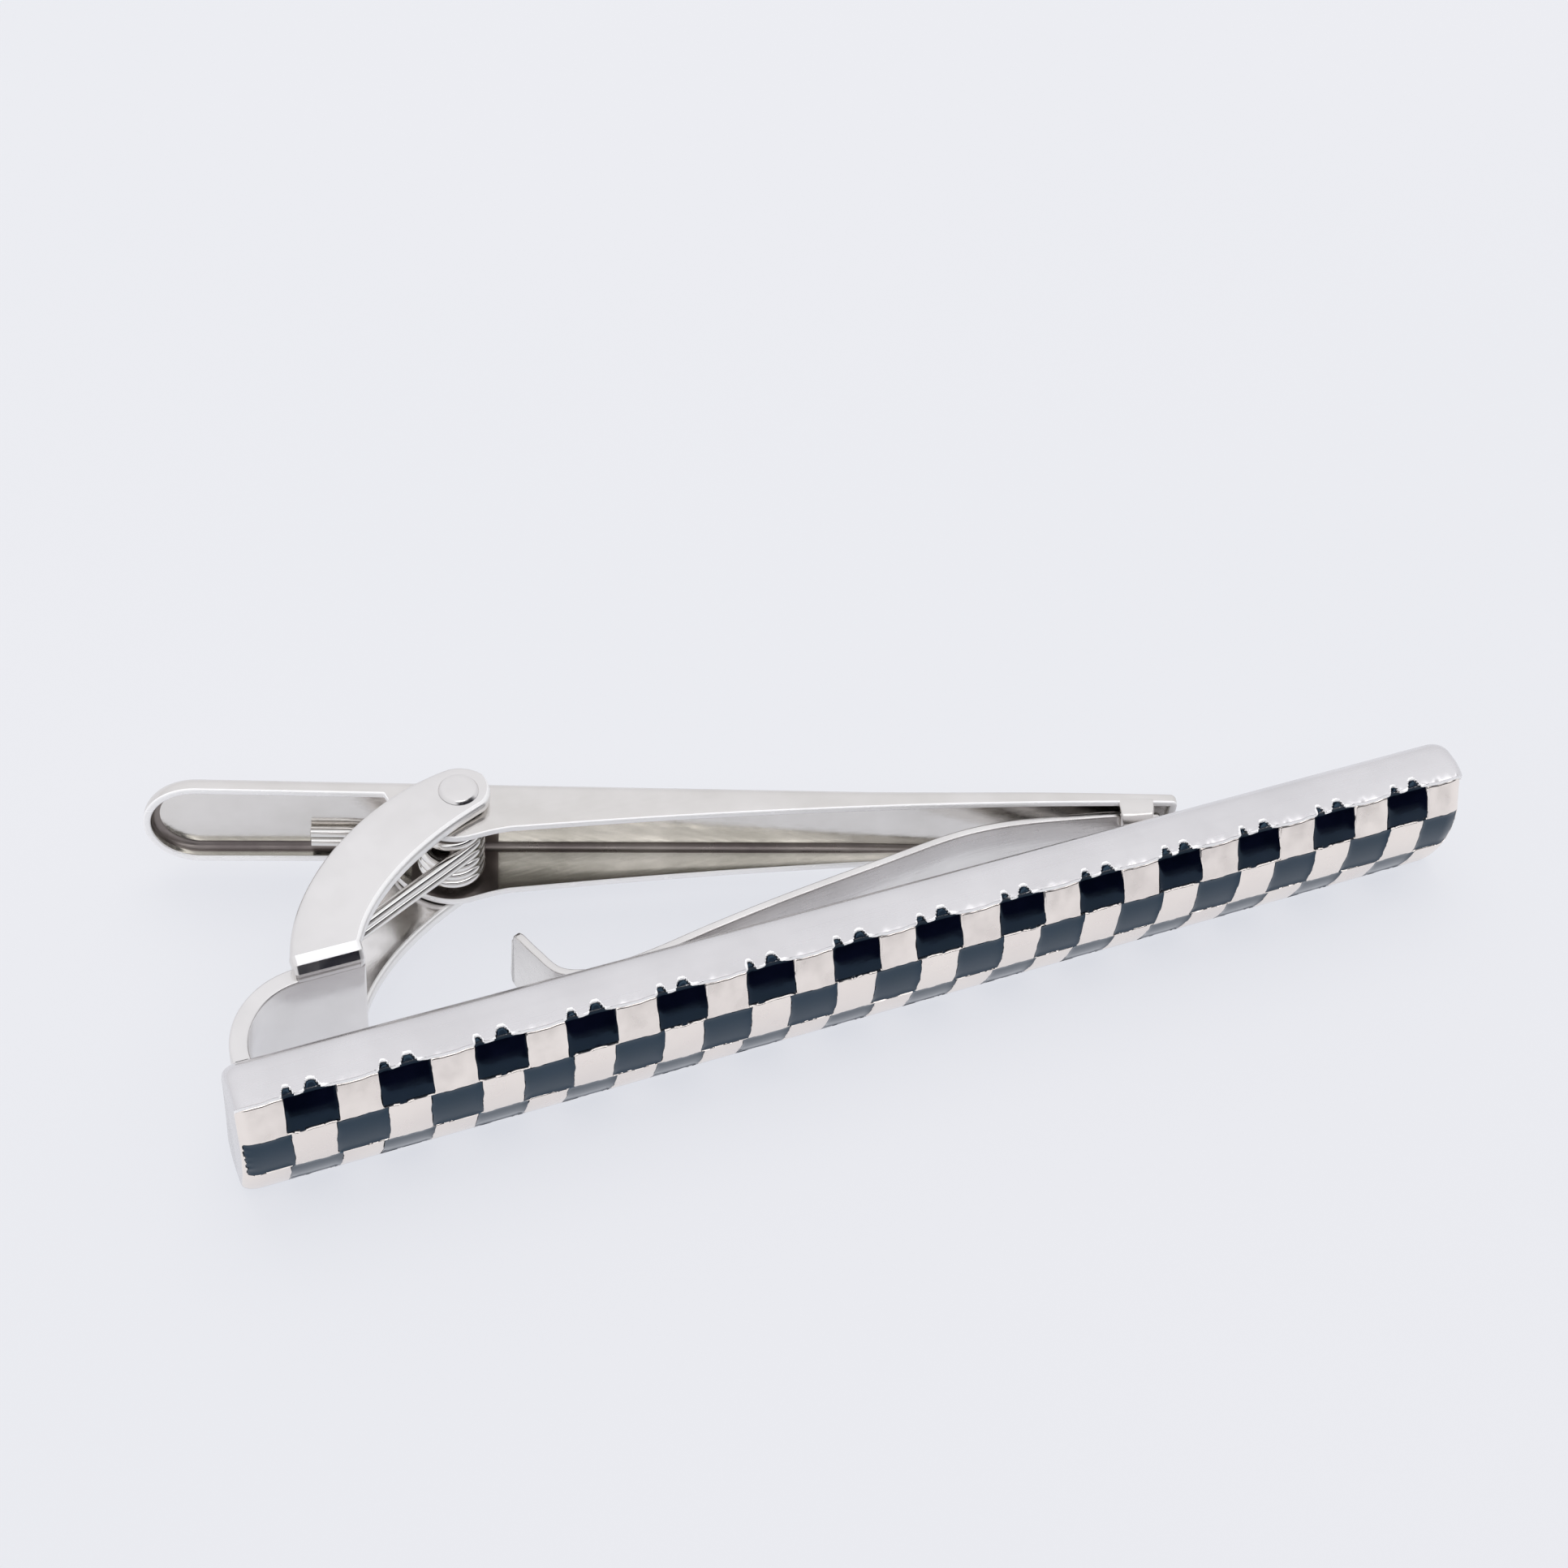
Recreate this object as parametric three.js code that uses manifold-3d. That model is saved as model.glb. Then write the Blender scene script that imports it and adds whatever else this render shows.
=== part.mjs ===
// Alligator tie clip: a front bar with a checkerboard of enamel, a neck bracket on its back, and a
// sprung lever on a rivet, with a bowed clamp leaf that presses the tie against the bar.
//
// Working frame, in millimetres: X along the bar from its left end, Y from the front face towards the
// back, Z up from the lower long edge. The finished group is centred on its own footprint.
import * as THREE from "three";
import { mergeVertices } from "three/addons/utils/BufferGeometryUtils.js";
import Module from "manifold-3d";

const wasm = await Module();
wasm.setup();

// Front bar
const BAR_LENGTH = 60;
const BAR_HEIGHT = 6.8;
const BAR_BACK = 3.4; // depth from the crown of the face to the flat back
const MID_Z = BAR_HEIGHT / 2;
const FACE_RADIUS = 4.95; // the face is barrel-shaped
const FACE_HALF = 2.81; // half height of the barrel, up to the ledge
const LEDGE_STEP = 0.1; // how far the shoulder stands proud of the face
const LAND_FRONT = 1.6; // where the flat top and bottom lands start
const BACK_ROUND = 1.2;

// Enamel checkerboard
const COLUMNS = 29;
const PITCH = BAR_LENGTH / COLUMNS;
const CELL_GROW = 0.08; // enamel cells are a little wider than a column
const END_BORDER = 0.3;
const ROW_SPLIT = 1.15; // height of the wall between two rows, from mid height
const ROW_WALL = 0.08;
const OUTER_ROW_END = 3.05; // outer cells run past the ledge onto the shoulder
const POCKET_DEPTH = 0.42;
const ENAMEL_RECESS = 0.08;
const FIT_GAP = 0.03; // clearance round a piece that sits in a pocket

// Pivot, and the neck bracket bent from sheet
const PIVOT = new THREE.Vector2(14, 14.5);
const BRACKET_SHEET = 0.68;
const BRACKET_WIDTH = 6.4; // over the two ears
const NECK_CENTRE = new THREE.Vector2(4.6, 3.6);
const NECK_RADIUS = 4;
const NECK_SHEET = 0.8;
const NECK_WIDTH = 5;
const NECK_END = 7.37; // free edge of the wall
const FOLD_START = 4.2; // where the ears' folds begin
const FOLD_DEPTH = 1.36; // from the front of the wall to the end of each fold
const FOLD_RADIUS = 0.65;
const FOOT_LENGTH = 2.8; // a thin tab under the neck, soldered to the bar's back
const FOOT_SHEET = 0.45;
const FOOT_WIDTH = 3.2;
const EAR_TIP_RADIUS = 1.45;
const SOLDER_GAP = 0.02;

// Pivot rivet
const RIVET_RADIUS = 0.43;
const RIVET_HEAD_RADIUS = 0.925;
const RIVET_HEAD_HEIGHT = 0.18;
const RIVET_BEVEL = 0.07;
const EAR_HOLE_RADIUS = 0.46;
const LEVER_HOLE_RADIUS = 0.5;

// Lever, a pressed tray. Its own frame has the pivot at the origin, X to the clamping tip, Y to the back
const LEVER_ANGLE = THREE.MathUtils.degToRad(-18.9);
const LEVER_SHEET = 0.48;
const LEVER_HALF = 2.4; // half width at the pivot
const LEVER_TAPER = 0.01; // half width lost for each millimetre towards the tip
const LEVER_BACK = 1.45; // pivot to the outside of the web
const HANDLE_END = -14.4;
const TIP_END = 33.9;
const HANDLE_RIM = 0.42;
const TAB_START = 31.1;
const TAB_LENGTH = 1.5;
const TAB_FRONT = -0.14;
const TAB_REACH = 1.2;

// Clamp leaf, a bowed spring strip, narrower where it enters the lever's tip
const LEAF_THICKNESS = 0.38;
const LEAF_HALF = 1.8;
const LEAF_ROOT_HALF = 1.4;
const LEAF_TAPER_FROM = 34;
const LEAF_TAPER_TO = 43;
const LEAF_SAMPLES = 30;
const LEAF_DEPTH = 12; // deeper than the whole bow

// Double torsion spring of round wire, loose on the rivet
const WIRE = 0.46;
const COIL_PITCH = 0.5;
const COIL_RADIUS = 1.15;
const COIL_CENTRE = new THREE.Vector2(-0.22, -0.383); // from the rivet's axis
const TURNS_ABOVE = 1; // whole turns above and below the wall leg
const TURNS_BELOW = 3;
const WALL_LEG_HEIGHT = 0.6; // above mid height
const WALL_LEG_ANGLE = THREE.MathUtils.degToRad(25.85);
const WALL_LEG_LENGTH = 11.9;
const WEB_LEG_END = -6.9;
const WEB_LEG_HEIGHT = -1.1;
const STEPS_PER_TURN = 16;
const WIRE_STEPS = 190;

// How finely the small curves are cut
const PIN_SEGMENTS = 24;
const POCKET_SEGMENTS = 4;
const WIRE_SEGMENTS = 4;

const POLISHED = { color: 0xd8d7da, metalness: 1, roughness: 0.25 };
const SATIN = { color: 0xcfcfd3, metalness: 1, roughness: 0.4 };
const ENAMEL = { color: 0x0c0f16, metalness: 0, roughness: 0.15 };

// A closed geometry as a manifold-3d solid.
function solidOf(geometry) {
  geometry.deleteAttribute("normal");
  geometry.deleteAttribute("uv");
  const merged = mergeVertices(geometry, 1e-4);
  return new wasm.Manifold(
    new wasm.Mesh({
      numProp: 3,
      vertProperties: merged.attributes.position.array,
      triVerts: new Uint32Array(merged.index.array),
    }),
  );
}

// A manifold-3d solid as a three.js geometry.
function geometryOf(solid) {
  const mesh = solid.getMesh();
  return new THREE.BufferGeometry()
    .setAttribute("position", new THREE.BufferAttribute(mesh.vertProperties, 3))
    .setIndex(new THREE.BufferAttribute(mesh.triVerts, 1));
}

function meshOf(name, solid, look) {
  const geometry = geometryOf(solid);
  geometry.computeVertexNormals();
  const mesh = new THREE.Mesh(geometry, new THREE.MeshStandardMaterial(look));
  mesh.name = name;
  return mesh;
}

// Prism of an outline drawn in X and Y, between two heights.
function alongZ(shape, low, high, curveSegments = 12) {
  const geometry = new THREE.ExtrudeGeometry(shape, {
    depth: high - low,
    bevelEnabled: false,
    curveSegments,
  });
  return solidOf(geometry.translate(0, 0, low));
}

// Prism of an outline drawn in Y and Z, between two places along the bar.
function alongX(shape, from, to, curveSegments = 8) {
  const axes = new THREE.Matrix4().makeBasis(
    new THREE.Vector3(0, 1, 0),
    new THREE.Vector3(0, 0, 1),
    new THREE.Vector3(1, 0, 0),
  );
  const geometry = new THREE.ExtrudeGeometry(shape, {
    depth: to - from,
    bevelEnabled: false,
    curveSegments,
  });
  return solidOf(geometry.applyMatrix4(axes).translate(from, 0, 0));
}

// Prism of an outline drawn in X and Z, between two depths.
function alongY(shape, front, back, curveSegments = 12) {
  const axes = new THREE.Matrix4().makeBasis(
    new THREE.Vector3(1, 0, 0),
    new THREE.Vector3(0, 0, 1),
    new THREE.Vector3(0, -1, 0),
  );
  const geometry = new THREE.ExtrudeGeometry(shape, {
    depth: back - front,
    bevelEnabled: false,
    curveSegments,
  });
  return solidOf(geometry.applyMatrix4(axes).translate(0, back, 0));
}

function box(x0, x1, y0, y1, z0, z1) {
  const geometry = new THREE.BoxGeometry(x1 - x0, y1 - y0, z1 - z0);
  return solidOf(geometry.translate((x0 + x1) / 2, (y0 + y1) / 2, (z0 + z1) / 2));
}

function uprightPin(centre, radius, low, high) {
  const geometry = new THREE.CylinderGeometry(radius, radius, high - low, PIN_SEGMENTS);
  geometry.rotateX(Math.PI / 2);
  return solidOf(geometry.translate(centre.x, centre.y, (low + high) / 2));
}

// ---- Front bar and enamel ----

// Barrel face, stepped ledges, elliptical shoulders, flat lands and a rounded, flat back.
function barProfile() {
  const faceEdge = FACE_RADIUS - Math.sqrt(FACE_RADIUS ** 2 - FACE_HALF ** 2);
  const shoulder = faceEdge - LEDGE_STEP;
  const faceAngle = Math.asin(FACE_HALF / FACE_RADIUS);
  const rise = BAR_HEIGHT / 2 - FACE_HALF;
  const run = LAND_FRONT - shoulder;
  const roundY = BAR_BACK - BACK_ROUND;
  const shape = new THREE.Shape();
  shape.moveTo(BAR_BACK, BACK_ROUND);
  shape.lineTo(BAR_BACK, BAR_HEIGHT - BACK_ROUND);
  shape.absarc(roundY, BAR_HEIGHT - BACK_ROUND, BACK_ROUND, 0, Math.PI / 2, false);
  shape.lineTo(LAND_FRONT, BAR_HEIGHT);
  shape.absellipse(LAND_FRONT, MID_Z + FACE_HALF, run, rise, Math.PI / 2, Math.PI, false);
  shape.lineTo(faceEdge, MID_Z + FACE_HALF);
  shape.absarc(FACE_RADIUS, MID_Z, FACE_RADIUS, Math.PI - faceAngle, Math.PI + faceAngle, false);
  shape.lineTo(shoulder, MID_Z - FACE_HALF);
  shape.absellipse(LAND_FRONT, MID_Z - FACE_HALF, run, rise, Math.PI, Math.PI * 1.5, false);
  shape.lineTo(roundY, 0);
  shape.absarc(roundY, BACK_ROUND, BACK_ROUND, -Math.PI / 2, 0, false);
  return shape;
}

// Slice of a ring about the barrel's axis, between two heights from mid height.
function faceSector(inner, outer, low, high) {
  const start = Math.PI - Math.asin(high / FACE_RADIUS);
  const end = Math.PI - Math.asin(low / FACE_RADIUS);
  const shape = new THREE.Shape();
  shape.absarc(FACE_RADIUS, MID_Z, outer, start, end, false);
  shape.absarc(FACE_RADIUS, MID_Z, inner, end, start, true);
  return shape;
}

// The rows from top to bottom: the heights they span, and which columns hold enamel.
const ROWS = [
  { name: "top", low: ROW_SPLIT + ROW_WALL / 2, high: OUTER_ROW_END, first: 1 },
  { name: "mid", low: -ROW_SPLIT + ROW_WALL / 2, high: ROW_SPLIT - ROW_WALL / 2, first: 0 },
  { name: "low", low: -OUTER_ROW_END, high: -ROW_SPLIT - ROW_WALL / 2, first: 1 },
];

// Every enamel cell: its name, row, and ends along the bar.
function enamelCells() {
  const cells = [];
  for (const row of ROWS) {
    for (let column = row.first; column < COLUMNS; column += 2) {
      const number = String((column - row.first) / 2 + 1).padStart(2, "0");
      cells.push({
        name: `enamel_${row.name}_${number}`,
        row,
        from: Math.max(END_BORDER, column * PITCH - CELL_GROW),
        to: Math.min(BAR_LENGTH - END_BORDER, (column + 1) * PITCH + CELL_GROW),
      });
    }
  }
  return cells;
}

function frontBar(cells) {
  const floor = FACE_RADIUS - POCKET_DEPTH;
  let bar = alongX(barProfile(), 0, BAR_LENGTH);
  for (const { row, from, to } of cells) {
    const pocket = faceSector(floor, FACE_RADIUS + 1, row.low, row.high);
    bar = bar.subtract(alongX(pocket, from, to, POCKET_SEGMENTS));
  }
  return meshOf("front_bar", bar, POLISHED);
}

function enamelFill({ name, row, from, to }) {
  const floor = FACE_RADIUS - POCKET_DEPTH + FIT_GAP;
  const top = FACE_RADIUS - ENAMEL_RECESS;
  const outline = faceSector(floor, top, row.low + FIT_GAP, row.high - FIT_GAP);
  const fill = alongX(outline, from + FIT_GAP, to - FIT_GAP, POCKET_SEGMENTS);
  return meshOf(name, fill, ENAMEL);
}

// ---- Neck bracket and rivet ----

// Quarter-round neck and wall, seen from above.
function neckOutline() {
  const { x, y } = NECK_CENTRE;
  const inner = NECK_RADIUS - NECK_SHEET;
  const back = BAR_BACK + SOLDER_GAP;
  const shape = new THREE.Shape();
  shape.moveTo(x - NECK_RADIUS, back);
  shape.lineTo(x - NECK_RADIUS, y);
  shape.absarc(x, y, NECK_RADIUS, Math.PI, Math.PI / 2, true);
  shape.lineTo(NECK_END, y + NECK_RADIUS);
  shape.lineTo(NECK_END, y + inner);
  shape.lineTo(x, y + inner);
  shape.absarc(x, y, inner, Math.PI / 2, Math.PI, false);
  shape.lineTo(x - inner, back);
  return shape;
}

function foot() {
  const start = NECK_CENTRE.x - NECK_RADIUS;
  const back = BAR_BACK + SOLDER_GAP;
  const half = FOOT_WIDTH / 2;
  return box(start, start + FOOT_LENGTH, back, back + FOOT_SHEET, MID_Z - half, MID_Z + half);
}

// The wall with its two folds, a trough that opens to the back, cut across the bar.
function foldTrough() {
  const front = NECK_CENTRE.y + NECK_RADIUS - NECK_SHEET;
  const half = BRACKET_WIDTH / 2;
  const bendY = front + FOLD_RADIUS;
  const bendZ = half - FOLD_RADIUS;
  const outer = new THREE.Shape();
  outer.moveTo(front + FOLD_DEPTH, MID_Z + half);
  outer.absarc(bendY, MID_Z + bendZ, FOLD_RADIUS, Math.PI / 2, Math.PI, false);
  outer.absarc(bendY, MID_Z - bendZ, FOLD_RADIUS, Math.PI, Math.PI * 1.5, false);
  outer.lineTo(front + FOLD_DEPTH, MID_Z - half);
  const inside = half - BRACKET_SHEET;
  const hollow = box(
    FOLD_START - 1,
    NECK_END + 1,
    front + NECK_SHEET,
    front + FOLD_DEPTH + 1,
    MID_Z - inside,
    MID_Z + inside,
  );
  return alongX(outer, FOLD_START, NECK_END).subtract(hollow);
}

// One ear seen from above: a curved horn from the fold to the round end over the pivot.
function earOutline() {
  const start = THREE.MathUtils.degToRad(100);
  const end = THREE.MathUtils.degToRad(-52);
  const back = NECK_CENTRE.y + NECK_RADIUS;
  const tipX = PIVOT.x + EAR_TIP_RADIUS * Math.cos(start);
  const tipY = PIVOT.y + EAR_TIP_RADIUS * Math.sin(start);
  const shape = new THREE.Shape();
  shape.moveTo(FOLD_START, back - 0.1);
  shape.bezierCurveTo(4.9, 11.12, 9.08, 15.18, tipX, tipY);
  shape.absarc(PIVOT.x, PIVOT.y, EAR_TIP_RADIUS, start, end, true);
  shape.bezierCurveTo(11.15, 11.98, 8.29, 9.72, NECK_END, back - 0.1);
  return shape;
}

function neckBracket() {
  const half = BRACKET_WIDTH / 2;
  const low = MID_Z - half;
  const high = MID_Z + half;
  const ear = earOutline();
  const neck = alongZ(neckOutline(), MID_Z - NECK_WIDTH / 2, MID_Z + NECK_WIDTH / 2, 10);
  const bracket = neck
    .add(foot())
    .add(foldTrough())
    .add(alongZ(ear, high - BRACKET_SHEET, high))
    .add(alongZ(ear, low, low + BRACKET_SHEET))
    .subtract(uprightPin(PIVOT, EAR_HOLE_RADIUS, -1, BAR_HEIGHT + 1));
  return meshOf("neck_bracket", bracket, SATIN);
}

function pivotRivet() {
  const seat = BRACKET_WIDTH / 2 + SOLDER_GAP;
  const top = seat + RIVET_HEAD_HEIGHT;
  const rim = top - RIVET_BEVEL;
  const upper = [
    [RIVET_RADIUS, seat],
    [RIVET_HEAD_RADIUS, seat],
    [RIVET_HEAD_RADIUS, rim],
    [RIVET_HEAD_RADIUS - RIVET_BEVEL, top],
    [0, top],
  ];
  const lower = upper.map(([radius, height]) => [radius, -height]).reverse();
  const profile = [...lower, ...upper].map(([radius, height]) => new THREE.Vector2(radius, height));
  const geometry = new THREE.LatheGeometry(profile, PIN_SEGMENTS);
  geometry.rotateX(Math.PI / 2);
  geometry.translate(PIVOT.x, PIVOT.y, MID_Z);
  return meshOf("pivot_rivet", solidOf(geometry), SATIN);
}

// ---- Lever ----

// The lever from behind: round handle end, square tip, inset all round by the given amount.
function leverPlan(inset) {
  const half = (x) => LEVER_HALF - LEVER_TAPER * x - inset;
  const radius = half(HANDLE_END + LEVER_HALF);
  const centre = HANDLE_END + inset + radius;
  const tip = TIP_END - inset;
  const shape = new THREE.Shape();
  shape.moveTo(tip, -half(tip));
  shape.lineTo(tip, half(tip));
  shape.lineTo(centre, radius);
  shape.absarc(centre, 0, radius, Math.PI / 2, Math.PI * 1.5, false);
  return shape;
}

// The lever from above: a low rim on the handle, a round lobe over the pivot, and a long taper.
function leverSide() {
  const shape = new THREE.Shape();
  shape.moveTo(HANDLE_END - 1, LEVER_BACK);
  shape.lineTo(HANDLE_END - 1, HANDLE_RIM);
  shape.lineTo(-3.35, HANDLE_RIM);
  shape.lineTo(-3.2, 0.1);
  shape.bezierCurveTo(-2.9, -1.2, -1.5, -2.35, 0.1, -2.35);
  shape.bezierCurveTo(1.1, -2.35, 1.5, -1.75, 2.8, -1.46);
  shape.bezierCurveTo(7.5, -0.9, 12, -0.35, 20.8, 0.26);
  shape.bezierCurveTo(25, 0.52, 29, 0.72, TIP_END + 1, 0.8);
  shape.lineTo(TIP_END + 1, LEVER_BACK);
  return shape;
}

// Two tabs near the tip, standing on the flanges and folded over the root of the leaf.
function crimpTabs() {
  const end = TAB_START + TAB_LENGTH;
  const half = LEVER_HALF - LEVER_TAPER * end;
  const inner = half - LEVER_SHEET;
  const low = LEVER_BACK - LEVER_SHEET;
  const folded = TAB_FRONT + LEVER_SHEET;
  return box(TAB_START, end, TAB_FRONT, low, inner, half)
    .add(box(TAB_START, end, TAB_FRONT, folded, half - TAB_REACH, half))
    .add(box(TAB_START, end, TAB_FRONT, low, -half, -inner))
    .add(box(TAB_START, end, TAB_FRONT, folded, -half, TAB_REACH - half));
}

function lever() {
  const front = -4;
  const half = LEVER_HALF + 1;
  const tray = alongY(leverPlan(0), front, LEVER_BACK)
    .intersect(alongZ(leverSide(), -half, half, 10))
    .subtract(alongY(leverPlan(LEVER_SHEET), front, LEVER_BACK - LEVER_SHEET))
    .add(crimpTabs())
    .subtract(uprightPin(new THREE.Vector2(0, 0), LEVER_HOLE_RADIUS, -half, half));
  const mesh = meshOf("lever", tray, POLISHED);
  mesh.position.set(PIVOT.x, PIVOT.y, MID_Z);
  mesh.rotation.z = LEVER_ANGLE;
  return mesh;
}

// ---- Clamp leaf ----

// Centre line of the leaf seen from above, from the hooked free end to its root in the lever's tip.
function leafLine() {
  const points = [
    [14.17, 7.05],
    [14.73, 5.52],
    [15.35, 4.3],
    [16.6, 3.8],
    [18.9, 3.87],
    [22.8, 4.5],
    [26.2, 4.98],
    [31.3, 5.53],
    [36.2, 6],
    [39.2, 5.85],
    [42.1, 5.37],
    [43.53, 5.04],
    [45.51, 4.36],
  ];
  return new THREE.CatmullRomCurve3(
    points.map(([x, y]) => new THREE.Vector3(x, y, 0)),
    false,
    "centripetal",
  );
}

// The leaf's front view: full width from the free end, then a taper to the narrow root.
function leafWidth() {
  const shape = new THREE.Shape();
  shape.moveTo(0, -LEAF_HALF);
  shape.lineTo(LEAF_TAPER_FROM, -LEAF_HALF);
  shape.lineTo(LEAF_TAPER_TO, -LEAF_ROOT_HALF);
  shape.lineTo(BAR_LENGTH, -LEAF_ROOT_HALF);
  shape.lineTo(BAR_LENGTH, LEAF_ROOT_HALF);
  shape.lineTo(LEAF_TAPER_TO, LEAF_ROOT_HALF);
  shape.lineTo(LEAF_TAPER_FROM, LEAF_HALF);
  shape.lineTo(0, LEAF_HALF);
  return shape;
}

// The leaf is the centre line thickened to both sides, trimmed to its width.
function clampLeaf() {
  const curve = leafLine();
  const front = [];
  const back = [];
  for (let i = 0; i <= LEAF_SAMPLES; i++) {
    const point = curve.getPointAt(i / LEAF_SAMPLES);
    const tangent = curve.getTangentAt(i / LEAF_SAMPLES);
    const side = new THREE.Vector3(-tangent.y, tangent.x, 0).multiplyScalar(LEAF_THICKNESS / 2);
    back.push(point.clone().add(side));
    front.push(point.clone().sub(side));
  }
  const outline = [...front, ...back.reverse()].map(({ x, y }) => new THREE.Vector2(x, y));
  const strip = alongZ(new THREE.Shape(outline), -LEAF_HALF, LEAF_HALF);
  const leaf = strip.intersect(alongY(leafWidth(), 0, LEAF_DEPTH));
  const mesh = meshOf("clamp_leaf", leaf, SATIN);
  mesh.position.z = MID_Z;
  return mesh;
}

// ---- Double torsion spring ----

// The sides of the coil where the wire leaves it, as angles from the bar's axis.
const WEB_SIDE = Math.PI / 2 + LEVER_ANGLE;
const WALL_SIDE = WALL_LEG_ANGLE - Math.PI / 2;

// A place on the coil. The axes are the bar's, from the rivet's axis at mid height.
function onCoil(angle, height) {
  return new THREE.Vector3(
    COIL_CENTRE.x + COIL_RADIUS * Math.cos(angle),
    COIL_CENTRE.y + COIL_RADIUS * Math.sin(angle),
    height,
  );
}

// A place on a web leg, by its distance from the coil along the lever.
function onWebLeg(along, height) {
  const run = new THREE.Vector3(Math.cos(LEVER_ANGLE), Math.sin(LEVER_ANGLE), 0);
  return onCoil(WEB_SIDE, height).addScaledVector(run, along);
}

// A place on the wall leg, at a share of its length from the coil.
function onWallLeg(share, height) {
  const run = new THREE.Vector3(-Math.cos(WALL_LEG_ANGLE), -Math.sin(WALL_LEG_ANGLE), 0);
  return onCoil(WALL_SIDE, height).addScaledVector(run, WALL_LEG_LENGTH * share);
}

// One half of the wire, from the end of its web leg, round the coil and out along the wall leg. side
// is 1 above the wall leg, -1 below it.
function halfWire(side, turns) {
  const turn = WEB_SIDE - WALL_SIDE + turns * 2 * Math.PI;
  const beside = side * COIL_PITCH * 0.5;
  const webHeight = WEB_LEG_HEIGHT + beside;
  const wallHeight = WALL_LEG_HEIGHT + beside;
  const coilEnd = wallHeight + (side * COIL_PITCH * turn) / (2 * Math.PI);
  const points = [
    onWebLeg(WEB_LEG_END, webHeight),
    onWebLeg(-5.2, webHeight),
    onWebLeg(-3.6, webHeight),
    onWebLeg(-2.5, (webHeight + coilEnd) / 2),
    onWebLeg(-1.4, coilEnd),
    onWebLeg(-0.5, coilEnd),
  ];
  const steps = Math.round((turn / (2 * Math.PI)) * STEPS_PER_TURN);
  for (let i = 0; i <= steps; i++) {
    const height = coilEnd + ((wallHeight - coilEnd) * i) / steps;
    points.push(onCoil(WEB_SIDE - (turn * i) / steps, height));
  }
  for (const share of [0.35, 0.7, 0.93]) {
    points.push(onWallLeg(share, wallHeight));
  }
  points.push(onWallLeg(0.975, WALL_LEG_HEIGHT + side * WIRE * 0.75));
  return points;
}

// Two coils joined by a closed loop that bears on the bracket's wall; the free ends lie on the web.
function torsionSpring() {
  const upper = halfWire(1, TURNS_ABOVE);
  const lower = halfWire(-1, TURNS_BELOW);
  const path = new THREE.CatmullRomCurve3(
    [...upper, onWallLeg(1, WALL_LEG_HEIGHT), ...lower.reverse()],
    false,
    "centripetal",
  );
  const section = new THREE.Shape();
  section.absarc(0, 0, WIRE / 2, 0, Math.PI * 2, false);
  const geometry = new THREE.ExtrudeGeometry(section, {
    extrudePath: path,
    steps: WIRE_STEPS,
    curveSegments: WIRE_SEGMENTS,
    bevelEnabled: false,
  });
  geometry.translate(PIVOT.x, PIVOT.y, MID_Z);
  return meshOf("torsion_spring", solidOf(geometry), POLISHED);
}

// ---- Assembly ----

const assembly = new THREE.Group();
const cells = enamelCells();
assembly.add(frontBar(cells), ...cells.map(enamelFill));
assembly.add(neckBracket(), pivotRivet(), lever(), clampLeaf(), torsionSpring());

// The origin is the middle of the footprint, at the height of the lower edge.
const extent = new THREE.Box3().setFromObject(assembly, true);
const middle = extent.getCenter(new THREE.Vector3());
assembly.position.set(-middle.x, -middle.y, -extent.min.z);

const tieClip = new THREE.Group();
tieClip.add(assembly);
export default tieClip;
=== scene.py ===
"""Looks of an alligator tie clip: a bar with a checkerboard of enamel, a neck bracket, a sprung lever
on a rivet, and a bowed clamp leaf. Shapes are worked out in millimetres in the bar's own frame: X along
the bar from its left end, Y from the crown of the face towards the back, Z up from the lower edge."""

import math

import bmesh
import bpy
import numpy as np
from mathutils import Matrix, Vector


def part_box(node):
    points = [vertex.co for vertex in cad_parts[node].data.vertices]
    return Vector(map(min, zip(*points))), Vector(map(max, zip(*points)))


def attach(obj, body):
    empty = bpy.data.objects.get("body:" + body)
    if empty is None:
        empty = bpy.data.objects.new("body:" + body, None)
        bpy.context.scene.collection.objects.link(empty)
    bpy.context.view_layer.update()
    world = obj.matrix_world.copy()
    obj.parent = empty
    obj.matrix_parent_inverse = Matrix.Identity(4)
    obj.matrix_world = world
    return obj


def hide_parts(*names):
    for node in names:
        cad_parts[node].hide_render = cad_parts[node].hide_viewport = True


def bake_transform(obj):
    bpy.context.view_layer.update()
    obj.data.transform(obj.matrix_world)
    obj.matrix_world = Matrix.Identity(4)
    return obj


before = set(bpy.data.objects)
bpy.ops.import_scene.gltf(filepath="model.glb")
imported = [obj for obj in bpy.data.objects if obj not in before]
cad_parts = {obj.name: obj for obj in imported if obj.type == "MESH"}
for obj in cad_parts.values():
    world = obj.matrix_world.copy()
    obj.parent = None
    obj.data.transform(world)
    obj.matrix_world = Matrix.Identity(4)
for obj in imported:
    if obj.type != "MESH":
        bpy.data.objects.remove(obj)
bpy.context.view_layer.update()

MM = 0.001
BAR_LOW, BAR_HIGH = (np.array(corner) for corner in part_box("front_bar"))
ORIGIN = BAR_LOW

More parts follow.
